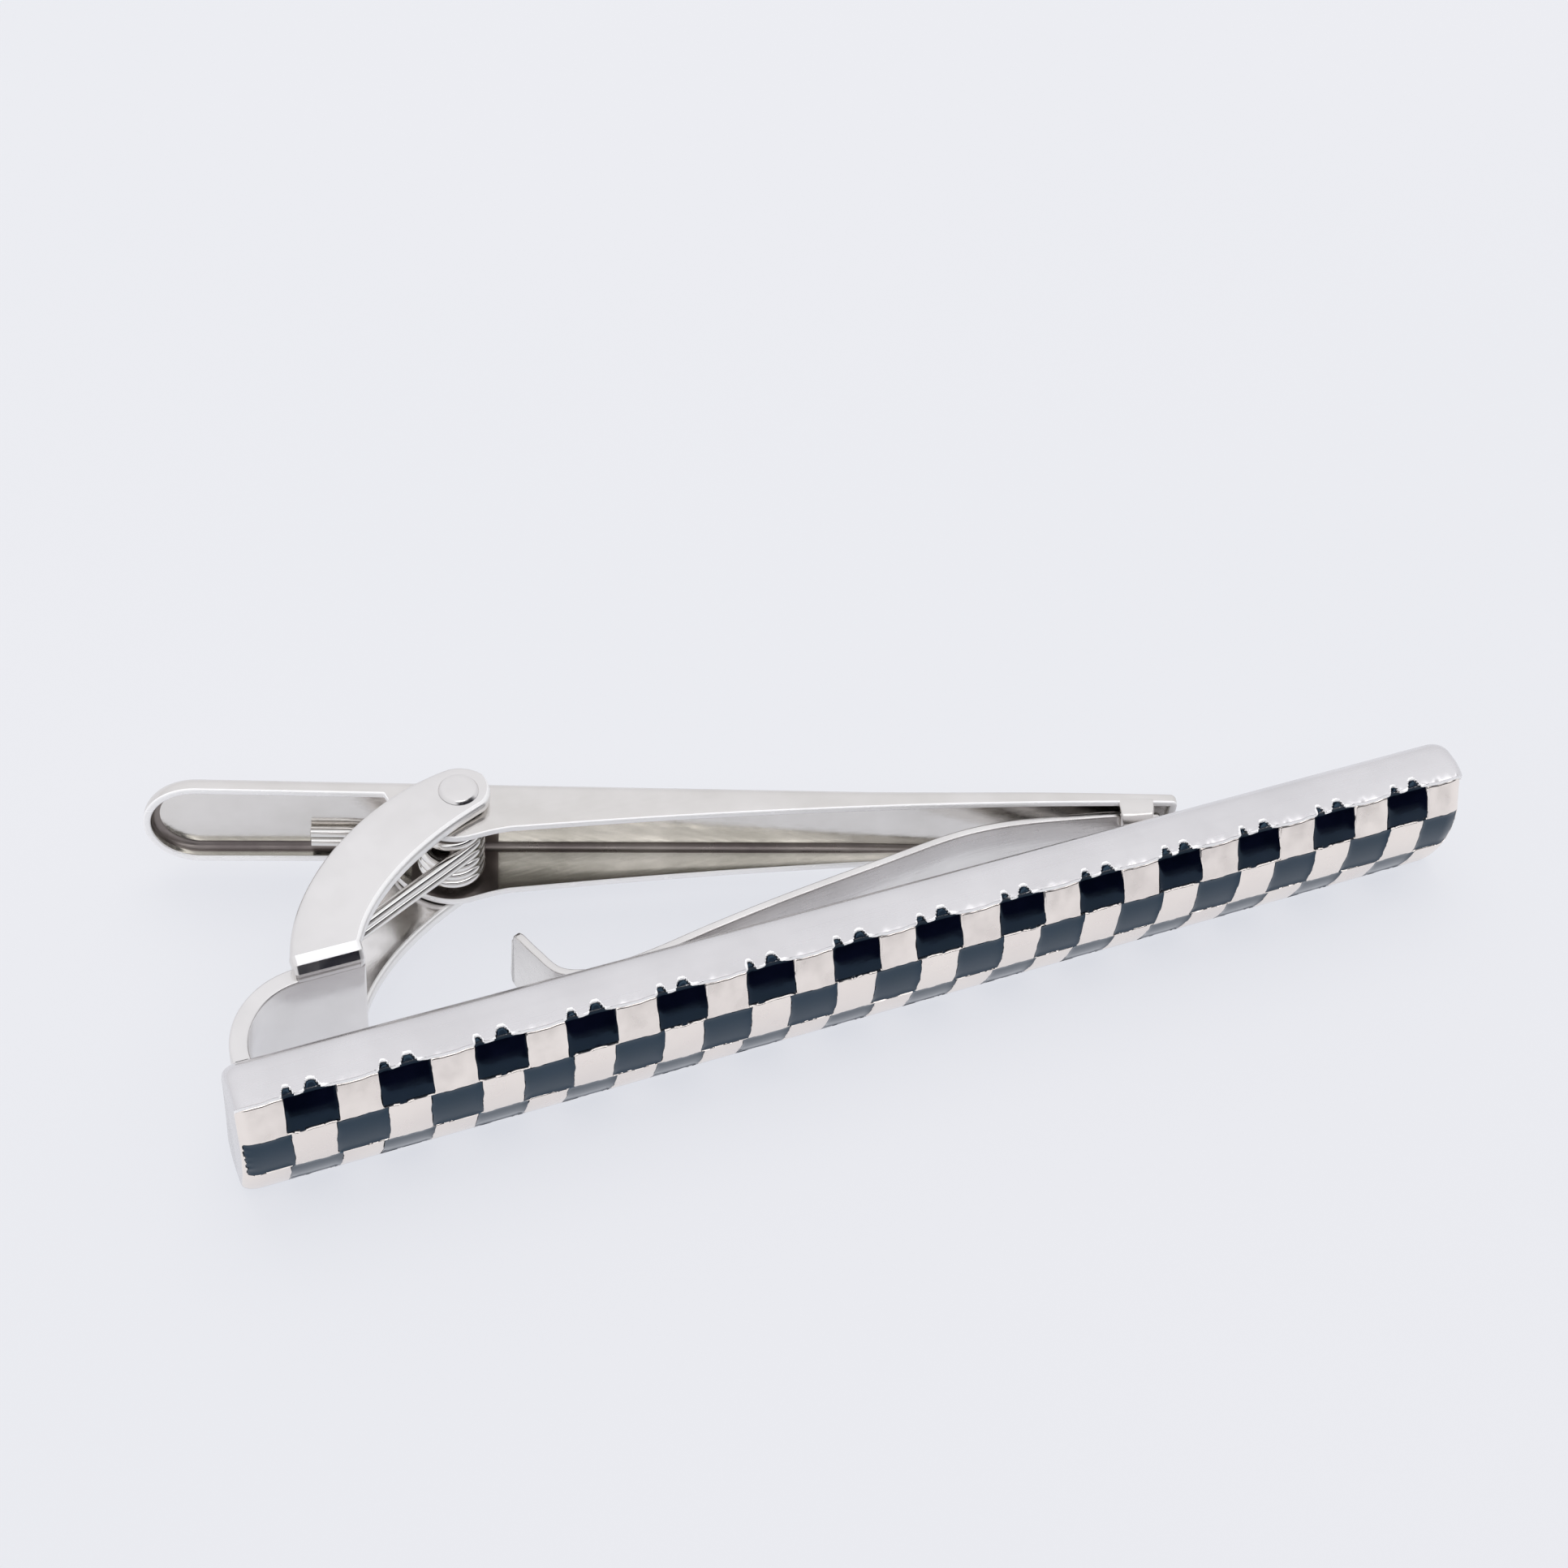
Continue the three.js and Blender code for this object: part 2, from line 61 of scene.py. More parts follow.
# Front bar. Heights are from mid height.
LENGTH = (BAR_HIGH[0] - BAR_LOW[0]) / MM
HEIGHT = (BAR_HIGH[2] - BAR_LOW[2]) / MM
BACK = (BAR_HIGH[1] - BAR_LOW[1]) / MM
MID = HEIGHT / 2
FACE_RADIUS = 4.95  # of the barrel face above mid height
LOWER_RADIUS = 6.45  # and below it
LOWER_EDGE = 3.1  # where the face turns under
LEDGE = 2.81  # between the face and the shoulder
LEDGE_STEP = 0.1  # how far the shoulder stands proud of the face
LEDGE_TURN = 0.03  # height of the ledge's corner, which is still the face's metal
LEDGE_SAG = 0.05  # how far the ledge drops after an enamel cell
LEDGE_CLIMB = 0.11  # how far it rises again to the next one
LIP_TOP = 3.1  # where the ledge's upright lip turns over into the shoulder
SHOULDER_START = 56  # tilt of the shoulder's outward normal at the lip, in degrees above level
RIDGE = 0.08  # height of the rolled line along the ledge
RIDGE_PLACE = 0.1  # of its crest, up from the ledge
RIDGE_SPREAD = 0.085  # of its sides
RIDGE_MARGIN = 0.09  # from the enamel's outline to the crest
CREASE = 0.03  # depth of the groove below the ledge
HOLLOW = 0.07  # how far the top row's bare metal is dished
HOLLOW_MIDDLE = 1.94
HOLLOW_HALF = 0.79  # half of its height
BACK_ROUND = 1.2
END_ROUND = 0.8  # how far along the bar the rounding of its ends reaches
END_INSET = 0.42  # how far the section draws in at the very end
OFF_FACE = 50.0  # a distance up the section that no cell reaches, for its back

# Checkerboard
COLUMNS = 29
PITCH = LENGTH / COLUMNS
ROW_NAMES = {1: "top", 0: "mid", -1: "low"}
ROW_SPLIT = 1.15  # from mid height to the line between two rows
ROW_GAP = 0.05  # half of the metal line between two rows
END_MARGIN = 0.16  # bare metal beside the end cells
OUTER_END = 2.95  # where the top cells end between their peaks
GROW = 0.06  # how far a cell reaches past its column on either side
PEAK_WIDTHS = (0.1, 0.13)  # of a top cell's two peaks, as shares of its width
POCKET = 0.3  # depth of a pocket
WALL_SOFT = 0.05  # half width of the slope at a pocket's edge
ENAMEL_RECESS = 0.075  # depth of its top below the metal
ENAMEL_BASE = 0.27  # depth of an enamel block's underside
ENAMEL_SKIRT = 0.25  # depth of its top outside the pocket, hidden in the metal
CLIMB = 0.05  # how far the enamel climbs its pocket's walls
CLIMB_REACH = 0.12  # and how far in from them it does

# Bracket, in the bar's plan: X along it, Y to its back
PIVOT = np.array([14.0, 14.5])
BRACKET_HALF = 3.2  # half of the height over both ears
EAR_SHEET = 0.68
EAR_ROOT = 7.5  # where the ears leave the folds
EAR_TIP = 1.45  # radius of an ear's round end
EAR_EDGE = 0.24  # rounding of its cut edges
FOLD_RADIUS = 0.8
INNER_FOLD = 0.12  # radius inside a fold
CHANNEL_STEPS = 9  # points across either side of the sheet
FOLD_START = 4.2  # left end of the folds
WALL_FRONT = 6.8  # outside of the wall between the folds
NECK_END = 7.37  # right end of wall and folds
NECK_CENTRE = np.array([4.6, 3.6])
NECK_LINE = 3.6  # radius of the neck's middle line
NECK_SHEET = 0.82
NECK_HALF = 2.4
NECK_EDGE = 0.14
FOOT_LENGTH = 2.8
FOOT_SHEET = 0.45
FOOT_HALF = 1.6
FOOT_EDGE = 0.1
SEAT_GAP = 0.02  # between the bar's back and what stands on it

# Rivet
HEAD_RADIUS = 0.925
SHANK_RADIUS = 0.43

# Lever, in its own frame: X to the clamping tip, Y to the back, from the pivot
LEVER_ANGLE = math.radians(-18.9)
LEVER_SHEET = 0.34
LEVER_HALF = 2.4
LEVER_TAPER = 0.01  # of the half width, along the lever
LEVER_BACK = 1.45  # outside of the web
LEVER_EDGE = 0.09  # rounding of the flanges' rims
HANDLE_END = -14.4
TIP_END = 33.9
BEND = 0.7  # outside bend of the tray, tighter at the tip
TIP_BEND = 0.32
BEND_STEPS = 9  # points round a bend of the tray
RIM_STEPS = 4  # and round either edge of its rim
TIP_STEPS = 9  # across half of its square tip
CORNER_STEPS = 6  # round the tip's corner
COIL_ZONE = (-2.1, 1.9)  # stretch of the tray that the spring's coil shades
TAB_PLACE = 31.85
TAB_RADIUS = 0.6
TAB_REACH = 1.3  # how far a tab folds over the leaf

# Leaf
LEAF_SHEET = 0.38
LEAF_HALF = 1.8
LEAF_ROOT_HALF = 1.4
LEAF_CORNER = 0.55  # radius of the free end's corners
LEAF_EDGE = 0.11
LEAF_WAIST = 0.5  # cut from each side just inside the T-shaped end

# Spring
WIRE = 0.27  # radius
COIL_PITCH = 0.56
COIL_RADIUS = 1.3
COIL_CENTRE = np.array([-0.457, -0.33])  # from the pivot
COIL_STEPS = 20  # for each turn
TURNS_ABOVE = 1
TURNS_BELOW = 3
WALL_LEG = 0.62  # height of the wall legs' middle
WALL_LEG_ANGLE = math.radians(25.85)
WALL_LEG_LENGTH = 11.9
WEB_LEG = -1.1  # height of the web legs' middle
WEB_LEG_SPREAD = 1.15  # distance between them, in coil pitches


# ---- Meshes ----


def piece(name, points, faces, materials, body, replaces, slot, sharp, numbers=None):
    """One closed or joined mesh, from millimetres in the bar's frame. Edges sharper than sharp, in
    degrees, stay sharp, and numbers gives each face its place in the list of materials."""
    mesh = bpy.data.meshes.new(name)
    mesh.from_pydata((ORIGIN + MM * np.asarray(points)).tolist(), [], faces)
    if numbers is not None:
        mesh.polygons.foreach_set("material_index", np.asarray(numbers, np.int32))
    work = bmesh.new()
    work.from_mesh(mesh)
    bmesh.ops.remove_doubles(work, verts=work.verts, dist=2e-7)
    bmesh.ops.dissolve_degenerate(work, edges=work.edges, dist=1e-7)
    bmesh.ops.recalc_face_normals(work, faces=work.faces)
    work.to_mesh(mesh)
    work.free()
    for material in materials if isinstance(materials, list) else [materials]:
        mesh.materials.append(material)
    mesh.shade_smooth()
    mesh.set_sharp_from_angle(angle=math.radians(sharp))
    item = bpy.data.objects.new(name, mesh)
    bpy.context.collection.objects.link(item)
    if body:
        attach(item, body)
    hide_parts(*replaces)
    return item


def grid_faces(rows, columns, offset=0, wrap=False):
    """Quads of a grid of points stored row by row."""
    across = columns if wrap else columns - 1
    return [
        (
            offset + r * columns + c,
            offset + r * columns + (c + 1) % columns,
            offset + (r + 1) * columns + (c + 1) % columns,
            offset + (r + 1) * columns + c,
        )
        for r in range(rows - 1)
        for c in range(across)
    ]


def loft(sections):
    """A closed body through closed sections, all with the same number of points."""
    rows, columns = len(sections), len(sections[0])
    points = np.concatenate(sections)
    faces = grid_faces(rows, columns, wrap=True)
    faces.append(tuple(range(columns)))
    faces.append(tuple(range((rows - 1) * columns, rows * columns)))
    return points, faces


def joined(*bodies):
    """Several (points, faces) pairs as one."""
    points, faces, offset = [], [], 0
    for body_points, body_faces in bodies:
        points.append(np.asarray(body_points, float))
        faces += [tuple(i + offset for i in face) for face in body_faces]
        offset += len(body_points)
    return np.concatenate(points), faces


def bezier(a, b, c, d, count):
    """Points along a cubic curve, both ends included."""
    t = np.linspace(0, 1, count)[:, None]
    a, b, c, d = (np.asarray(p, float) for p in (a, b, c, d))
    return (1 - t) ** 3 * a + 3 * t * (1 - t) ** 2 * b + 3 * t**2 * (1 - t) * c + t**3 * d


def arc(centre, radius, start, end, count):
    """Points along an arc, angles in degrees."""
    angle = np.radians(np.linspace(start, end, count))
    return np.asarray(centre) + radius * np.stack([np.cos(angle), np.sin(angle)], axis=1)


def rounded_loop(half_thickness, half_width, edge, inset, steps=4):
    """Outline of a rounded bar section: (across the sheet, across its width) pairs."""
    half_thickness -= inset
    half_width -= inset
    edge = max(min(edge - inset, half_thickness, half_width), 1e-4)
    loop = []
    for across, along, start in ((1, 1, 0), (-1, 1, 90), (-1, -1, 180), (1, -1, 270)):
        centre = (across * (half_thickness - edge), along * (half_width - edge))
        loop.append(arc(centre, edge, start, start + 90, steps))
    return np.concatenate(loop)


def ribbon(path, thickness, half_width, edge, place):
    """A strip with rounded edges along a path in a plane. place turns (plane x, plane y, width) to
    the bar's frame, and half_width is a number or one number for each point."""
    path = np.asarray(path, float)
    widths = np.broadcast_to(np.asarray(half_width, float), len(path))
    tangent = np.gradient(path, axis=0)
    tangent /= np.linalg.norm(tangent, axis=1)[:, None]
    side = np.stack([-tangent[:, 1], tangent[:, 0]], axis=1)
    turns = np.radians(np.linspace(0, 90, 5))
    stations = [(0, edge * (1 - math.sin(t)), edge * (1 - math.cos(t))) for t in turns[::-1]]
    stations += [(i, None, 0.0) for i in range(1, len(path) - 1)]
    stations += [(len(path) - 1, edge * (1 - math.sin(t)), edge * (1 - math.cos(t))) for t in turns]
    sections = []
    for i, push, inset in stations:
        centre = path[i].copy()
        if push is not None:
            centre += tangent[i] * (push if i == 0 else -push)
        loop = rounded_loop(thickness / 2, widths[i], edge, inset)
        flat = centre + side[i] * loop[:, :1]
        sections.append(place(flat[:, 0], flat[:, 1], loop[:, 1]))
    return loft(sections)


def lever_place(along, back, height):
    """From the lever's frame, at mid height, to the bar's frame."""
    cos, sin = math.cos(LEVER_ANGLE), math.sin(LEVER_ANGLE)
    along, back, height = np.broadcast_arrays(along, back, height)
    x = PIVOT[0] + along * cos - back * sin
    y = PIVOT[1] + along * sin + back * cos
    return np.stack([x, y, MID + height], axis=-1)


def bar_place(x, y, height):
    """From the bar's plan, with a height from mid height, to the bar's frame."""
    x, y, height = np.broadcast_arrays(x, y, height)
    return np.stack([x, y, MID + height], axis=-1)


def smooth(low, high, value):
    """A smooth step from 0 at low to 1 at high."""
    t = np.clip((value - low) / (high - low), 0, 1)
    return t * t * (3 - 2 * t)


def face_depth(v):
    """How far behind the crown the barrel face lies, at a height from mid height."""
    radius = np.where(np.asarray(v) > 0, FACE_RADIUS, LOWER_RADIUS)
    return radius - np.sqrt(radius**2 - np.minimum(np.abs(v), LOWER_EDGE) ** 2)


# ---- Materials ----


def colour_ramp(tree, factor, stops):
    """A ramp through stops of (position, colour or grey value). Returns its colour output."""
    node = tree.nodes.new("ShaderNodeValToRGB")
    elements = node.color_ramp.elements
    while len(elements) < len(stops):
        elements.new(0.5)
    for element, (position, colour) in zip(elements, stops):
        element.position = position
        element.color = (*colour, 1.0) if isinstance(colour, tuple) else (colour,) * 3 + (1.0,)
    tree.links.new(factor, node.inputs["Fac"])
    return node.outputs["Color"]


class Nodes:
    """Short calls for building a node material on one Principled BSDF."""

    def __init__(self, name):
        self.material = bpy.data.materials.new(name)
        self.material.use_nodes = True
        self.tree = self.material.node_tree
        self.shader = self.tree.nodes["Principled BSDF"]
        self.place = self.tree.nodes.new("ShaderNodeTexCoord").outputs["Object"]

    def link(self, source, target):
        self.tree.links.new(source, target)

    def set(self, **values):
        for key, value in values.items():
            self.shader.inputs[key.replace("_", " ")].default_value = value

    def noise(self, scale, stretch=(1, 1, 1), detail=3.0):
        mapping = self.tree.nodes.new("ShaderNodeMapping")
        mapping.inputs["Scale"].default_value = [scale * s for s in stretch]
        self.link(self.place, mapping.inputs["Vector"])
        node = self.tree.nodes.new("ShaderNodeTexNoise")
        node.inputs["Scale"].default_value = 1.0
        node.inputs["Detail"].default_value = detail
        node.inputs["Roughness"].default_value = 0.55
        self.link(mapping.outputs["Vector"], node.inputs["Vector"])
        return node.outputs["Fac"]

    def ramp_to(self, socket, factor, stops):
        """Drives one of the shader's inputs by a ramp."""
        self.link(colour_ramp(self.tree, factor, stops), self.shader.inputs[socket])

    def bump(self, heights):
        """Stacks bumps: each is (height output, strength, distance in metres)."""
        normal = None
        for height, strength, distance in heights:
            node = self.tree.nodes.new("ShaderNodeBump")
            node.inputs["Strength"].default_value = strength
            node.inputs["Distance"].default_value = distance
            self.link(height, node.inputs["Height"])
            if normal:
                self.link(normal, node.inputs["Normal"])
            normal = node.outputs["Normal"]
        self.link(normal, self.shader.inputs["Normal"])


def metal(name, light, dark, gloss, streaks, speckle, grain=(0.12, 6, 6), metallic=1.0):
    """Plated metal: cloudy colour, uneven gloss from the smoothest to the roughest value, brushing
    along the bar and a fine speckle."""
    m = Nodes(name)
    m.set(Metallic=metallic)
    m.ramp_to("Base Color", m.noise(260, detail=4.0), [(0.35, dark), (0.65, light)])
    brushed = m.noise(900, grain, detail=2.0)
    m.ramp_to("Roughness", brushed, [(0.3, gloss[0]), (0.7, gloss[1])])
    fine = m.noise(9000, detail=2.0)
    m.bump([(brushed, streaks, 2e-5), (fine, speckle, 1e-5), (m.noise(420), 0.1, 4e-5)])
    return m.material


def enamel_material(name, ior):
    """Near-black enamel under a bluish shine."""
    m = Nodes(name)
    m.set(Roughness=0.09, IOR=ior, Specular_Tint=(0.42, 0.72, 1.0, 1.0))
    m.ramp_to("Base Color", m.noise(700), [(0.35, (0.001, 0.002, 0.007)), (0.7, (0.003, 0.004, 0.013))])
    m.bump([(m.noise(900, (0.6, 1, 1)), 0.18, 3e-5), (m.noise(7000), 0.03, 1e-5)])
    return m.material


def floor_material():
    """A pale light table, so that shadows on it stay faint."""
    m = Nodes("pale_floor")
    m.set(Roughness=0.8, Emission_Strength=0.70, Emission_Color=(0.90, 0.923, 1.0, 1.0))
    m.shader.inputs["Specular IOR Level"].default_value = 0.2
    pale, paler = (0.165, 0.16, 0.145), (0.175, 0.165, 0.15)
    m.ramp_to("Base Color", m.noise(14, detail=2.0), [(0.3, pale), (0.7, paler)])
    return m.material


EVEN = (1, 1, 1)  # grain without a direction
BAR_METAL = metal("plated_bar", (0.765, 0.75, 0.755), (0.71, 0.695, 0.70), (0.18, 0.30), 0.09, 0.04)
FACE_METAL = metal("plated_face", (0.96, 0.89, 0.83), (0.91, 0.84, 0.79), (0.16, 0.30), 0.12, 0.1, EVEN)
# Painted highlight: a whiter, partly diffuse copy of the plate, for the bar's ridge, the crowns of the
# bracket's folds and the lever's rims.
HIGHLIGHT_METAL = metal(
    "painted_highlight_plate", (1.0, 0.99, 0.985), (0.98, 0.97, 0.965), (0.2, 0.28), 0.03, 0.03, metallic=0.15,
)
SHEET_METAL = metal("satin_plate", (0.84, 0.82, 0.805), (0.77, 0.75, 0.735), (0.13, 0.24), 0.04, 0.12, EVEN)
LEVER_METAL = metal("bright_plate", (0.79, 0.765, 0.74), (0.72, 0.695, 0.665), (0.10, 0.22), 0.08, 0.10)
LEAF_METAL = metal("spring_strip", (0.84, 0.82, 0.80), (0.75, 0.73, 0.71), (0.16, 0.30), 0.35, 0.08)
# Painted light: a lighter, rougher copy of the sheet's plate, for the ears' cut edges.
EDGE_LIGHT_METAL = metal(
    "edge_painted_light", (0.96, 0.95, 0.935), (0.9, 0.89, 0.875), (0.28, 0.4), 0.03, 0.06, EVEN, 0.8,
)
# Painted shade: a darker copy of the lever's plate for the inside of its flanges, and a darker still one for
# its inner bends and the stretch under the coil.
INNER_SHADE_METAL = metal("inner_plate_painted_shade", (0.57, 0.555, 0.51), (0.42, 0.41, 0.37), (0.14, 0.26), 0.08, 0.1)
SHADE_METAL = metal("inside_painted_shade", (0.30, 0.27, 0.25), (0.18, 0.155, 0.15), (0.25, 0.4), 0.04, 0.1, EVEN)
WIRE_METAL = metal("bright_wire", (0.86, 0.845, 0.82), (0.79, 0.775, 0.75), (0.05, 0.14), 0.08, 0.10)
TOP_ENAMEL = enamel_material("black_enamel_top", 1.42)
ENAMEL = enamel_material("black_enamel", 1.72)


# ---- Checkerboard ----


class Cell:
    """One enamel cell with wavy sides. A top cell ends in two peaks on the shoulder."""

    def __init__(self, name, row, column, rng):
        self.name = name
        self.row = row
        start = column * PITCH
        last = column == COLUMNS - 1
        self.left = max(END_MARGIN, start - GROW - rng.uniform(0, 0.03))
        self.right = start + PITCH + GROW + rng.uniform(0, 0.03) - (END_MARGIN + GROW if last else 0)
        self.inner = ROW_SPLIT + rng.uniform(-0.02, 0.02)
        self.outer = (OUTER_END if row == 1 else LOWER_EDGE) + rng.uniform(-0.03, 0.03)
        self.phase = rng.uniform(0, 6.28, 6)
        self.peaks = (0.07 + rng.uniform(-0.02, 0.02), 0.55 + rng.uniform(-0.04, 0.04))
        self.peak_height = (0.38 + rng.uniform(0, 0.06), 0.4 + rng.uniform(0, 0.06))
        self.lean = rng.uniform(-0.03, 0.03)
        self.ragged = column == 0 and row == 0

    def wave(self, t, index, size=0.02):
        """The unevenness of one side of the cell."""
        phase = self.phase[index]
        return size * (np.sin(3.1 * t + phase) + 0.6 * np.sin(7.3 * t + 2 * phase))

    def outer_edge(self, x):
        """The end of an outer cell, which bulges, drops at its right, and has peaks in the top row."""
        t = (x - self.left) / (self.right - self.left)
        edge = self.outer + self.wave(x, 3, 0.01)
        if self.row == 1:
            for centre, width, height in zip(self.peaks, PEAK_WIDTHS, self.peak_height):
                edge = edge + height * np.exp(-(((t - centre) / width) ** 4))
        return edge + 0.07 * smooth(0.2, 0.5, t) - 0.14 * smooth(0.75, 1.0, t)

    def depth_inside(self, x, v):
        """Distance in from the cell's outline, negative outside. v is the distance up the section."""
        left = self.left + self.wave(v, 0) + self.lean * v
        if self.ragged:
            left = left + 0.1 * np.abs(np.mod(v * 2.2 + 0.3, 1.0) - 0.5) * 2 - 0.05
        right = self.right + self.wave(v, 1) + self.lean * v
        if self.row == 0:
            low = -self.inner + ROW_GAP + self.wave(x, 2, 0.015)
            high = self.inner - ROW_GAP + self.wave(x, 3, 0.015)
        else:
            v = v * self.row
            low = self.inner + ROW_GAP + self.wave(x, 2, 0.02)
            high = self.outer_edge(x)
        return np.minimum(np.minimum(x - left, right - x), np.minimum(v - low, high - v))


def make_cells():
    """The three rows of enamel cells, which take every other place of the checkerboard."""
    rng = np.random.default_rng(29)
    cells = []
    for row in (1, 0, -1):
        for number, column in enumerate(range(row % 2, COLUMNS, 2), start=1):
            name = f"enamel_{ROW_NAMES[row]}_{number:02d}"
            cells.append(Cell(name, row, column, rng))
    return cells


def face_heights(end, steps):
    """Heights up the barrel face, closer together where two rows meet."""
    return np.concatenate([
        np.linspace(0, 0.98, 9),
        np.linspace(1.02, 1.3, 9),
        np.linspace(1.4, end, steps),
    ])


def upper_profile():
    """The section from mid height up to the land, as depths and heights from mid height."""
    heights = np.concatenate([face_heights(2.55, 10), np.linspace(2.6, LEDGE - 0.01, 10)])
    face = np.stack([face_depth(heights), heights], axis=1)
    edge = face_depth(LEDGE)
    lip_depth = edge - LEDGE_STEP
    lip_heights = np.linspace(LEDGE + 0.02, LIP_TOP, 8)
    lip = np.stack([np.linspace(edge - 0.02, lip_depth, 8), lip_heights], axis=1)
    rise = MID - LIP_TOP
    radius = rise / (1 - math.sin(math.radians(SHOULDER_START)))
    land = lip_depth + radius * math.cos(math.radians(SHOULDER_START))
    angle = np.radians(np.linspace(SHOULDER_START, 90, 34))
    shoulder = np.stack([land - radius * np.cos(angle), MID - radius * (1 - np.sin(angle))], axis=1)
    return np.concatenate([face, lip, shoulder[1:]])


def lower_profile():
    """The section from mid height down to the bar's underside, with the heights as positive."""
    heights = face_heights(LOWER_EDGE, 20)[1:]
    depths = face_depth(-heights)
    tilt = math.asin(LOWER_EDGE / LOWER_RADIUS)
    radius = (MID - LOWER_EDGE) / (1 - math.sin(tilt))
    centre = (depths[-1] + radius * math.cos(tilt), MID - radius)
    turn = np.linspace(tilt, math.pi / 2, 9)[1:]
    under = np.stack([centre[0] - radius * np.cos(turn), centre[1] + radius * np.sin(turn)], axis=1)
    return np.concatenate([np.stack([depths, heights], axis=1), under])


def running(profile, start):
    """Distance up a profile: the height itself up to the start, then the length along the surface."""
    steps = np.linalg.norm(np.diff(profile, axis=0), axis=1)
    steps = np.where(profile[1:, 1] > start, steps, np.diff(profile[:, 1]))
    return profile[0, 1] + np.concatenate([[0], np.cumsum(steps)])


def bar_section():
    """The whole closed section, its outward normals, and the distance up it on the front side."""
    back_top = arc((BACK - BACK_ROUND, MID - BACK_ROUND), BACK_ROUND, 90, 0, 12)
    rest = np.concatenate([back_top, [[BACK, 1.0]]])
    top, low = upper_profile(), lower_profile()
    upper, lower = np.concatenate([top, rest]), np.concatenate([low, rest])
    far = np.full(len(rest), OFF_FACE)
    up = np.concatenate([running(top, LEDGE), far])
    down = np.concatenate([running(low, LOWER_EDGE), far])
    section = np.concatenate([[[BACK, 0.0]], lower[::-1] * [1, -1], upper])
    distance = np.concatenate([[OFF_FACE], -down[::-1], up])
    tangent = np.roll(section, -1, axis=0) - np.roll(section, 1, axis=0)
    tangent /= np.linalg.norm(tangent, axis=1)[:, None]
    normal = np.stack([-tangent[:, 1], tangent[:, 0]], axis=1)
    return section, normal, distance


SECTION, SECTION_NORMAL, SECTION_RUN = bar_section()


def on_bar(v):
    """Depth, height and outward normal of the bar's front at a distance up the section."""
    front = np.abs(SECTION_RUN) < OFF_FACE
    values = (*SECTION.T, *SECTION_NORMAL.T)
    return [np.interp(v, SECTION_RUN[front], value[front]) for value in values]


def bar_stations():
    """Places along the bar, closer together at the sides of the cells and at the two ends."""
    aside = np.array([0.04, 0.07, 0.1, 0.13, 0.17, 0.22])
    near = np.concatenate([-aside[::-1], [0], aside])
    between = np.linspace(aside[-1], PITCH - aside[-1], 27)[1:-1]
    stations = [column * PITCH + offset for column in range(COLUMNS + 1) for offset in near]
    stations += [column * PITCH + offset for column in range(COLUMNS) for offset in between]
    turn = np.radians(np.linspace(0, 90, 7))
    rounding = END_ROUND * (1 - np.sin(turn))
    stations += list(rounding) + list(LENGTH - rounding)
    stations = np.unique(np.round([s for s in stations if 0 <= s <= LENGTH], 4))
    keep = np.concatenate([[True], np.diff(stations) > 0.012])
    keep[-1] = True
    return stations[keep]


def enamel_distance(cells, x, v):
    """Distance in from the outline of the nearest enamel cell, negative on the metal."""
    inside = np.full(np.broadcast(x, v).shape, -1.0)
    for cell in cells:
        columns = np.abs(x[:, 0] - (cell.left + cell.right) / 2) < PITCH
        inside[columns] = np.maximum(inside[columns], cell.depth_inside(x[columns], v))
    return inside


def ledge_lift(x):
    """How far the ledge is lifted on the bare metal. It sags after each enamel cell and climbs to
    the next one."""
    share = np.mod(x / PITCH, 2)
    sag = LEDGE_CLIMB * smooth(0.4, 1.0, share) - LEDGE_SAG * smooth(0.0, 0.5, share)
    sag = sag - (LEDGE_CLIMB - LEDGE_SAG) * smooth(1.0, 1.15, share)
    away = smooth(0.0, 0.6, x) * smooth(0.0, 0.6, LENGTH - x)
    return (sag + 0.012 * np.sin(9.1 * x)) * away


def ridge_height(v, inside):
    """The ridge, from 0 to 1: it follows the ledge on the metal and goes round the enamel's peaks."""
    plain = np.exp(-(((v - LEDGE - RIDGE_PLACE) / RIDGE_SPREAD) ** 2))
    round_enamel = np.exp(-(((inside + RIDGE_MARGIN) / 0.06) ** 2)) * smooth(LEDGE, LEDGE + 0.12, v)
    return np.maximum(plain * (1 - smooth(-0.12, 0.0, inside)), round_enamel)


def end_shift(x, y, v):
    """How the section draws in towards its middle at the bar's rounded ends."""
    end = np.clip(1 - np.minimum(x, LENGTH - x) / END_ROUND, 0, 1)
    inset = END_INSET * (1 - np.sqrt(1 - end**2))
    inward = np.stack([y - BACK / 2, 0.6 * v])
    inward = -inward / np.linalg.norm(inward, axis=0)
    return inward[0] * inset, inward[1] * inset


def bar_relief(up, inside, ridge):
    """How far the bar's skin stands above its plain section."""
    hollow = HOLLOW * (1 - np.clip((up - HOLLOW_MIDDLE) / HOLLOW_HALF, -1, 1) ** 2)
    crease = CREASE * smooth(2.7, 2.78, up) * (up < LEDGE + LEDGE_TURN)
    return RIDGE * ridge - hollow - crease - POCKET * smooth(-WALL_SOFT, WALL_SOFT, inside)


def bar_numbers(up, ridge):
    """The metal of each mesh face: 1 on the barrel face, 2 on the ridge, a whiter copy as painted highlight,
    and 0 elsewhere.
    """
    on_face = (up < LEDGE + LEDGE_TURN) & (up > -LOWER_EDGE)
    numbers = np.where(ridge > 0.2, 2, np.where(on_face, 1, 0))
    return np.concatenate([numbers[:-1].ravel(), [0, 0]])


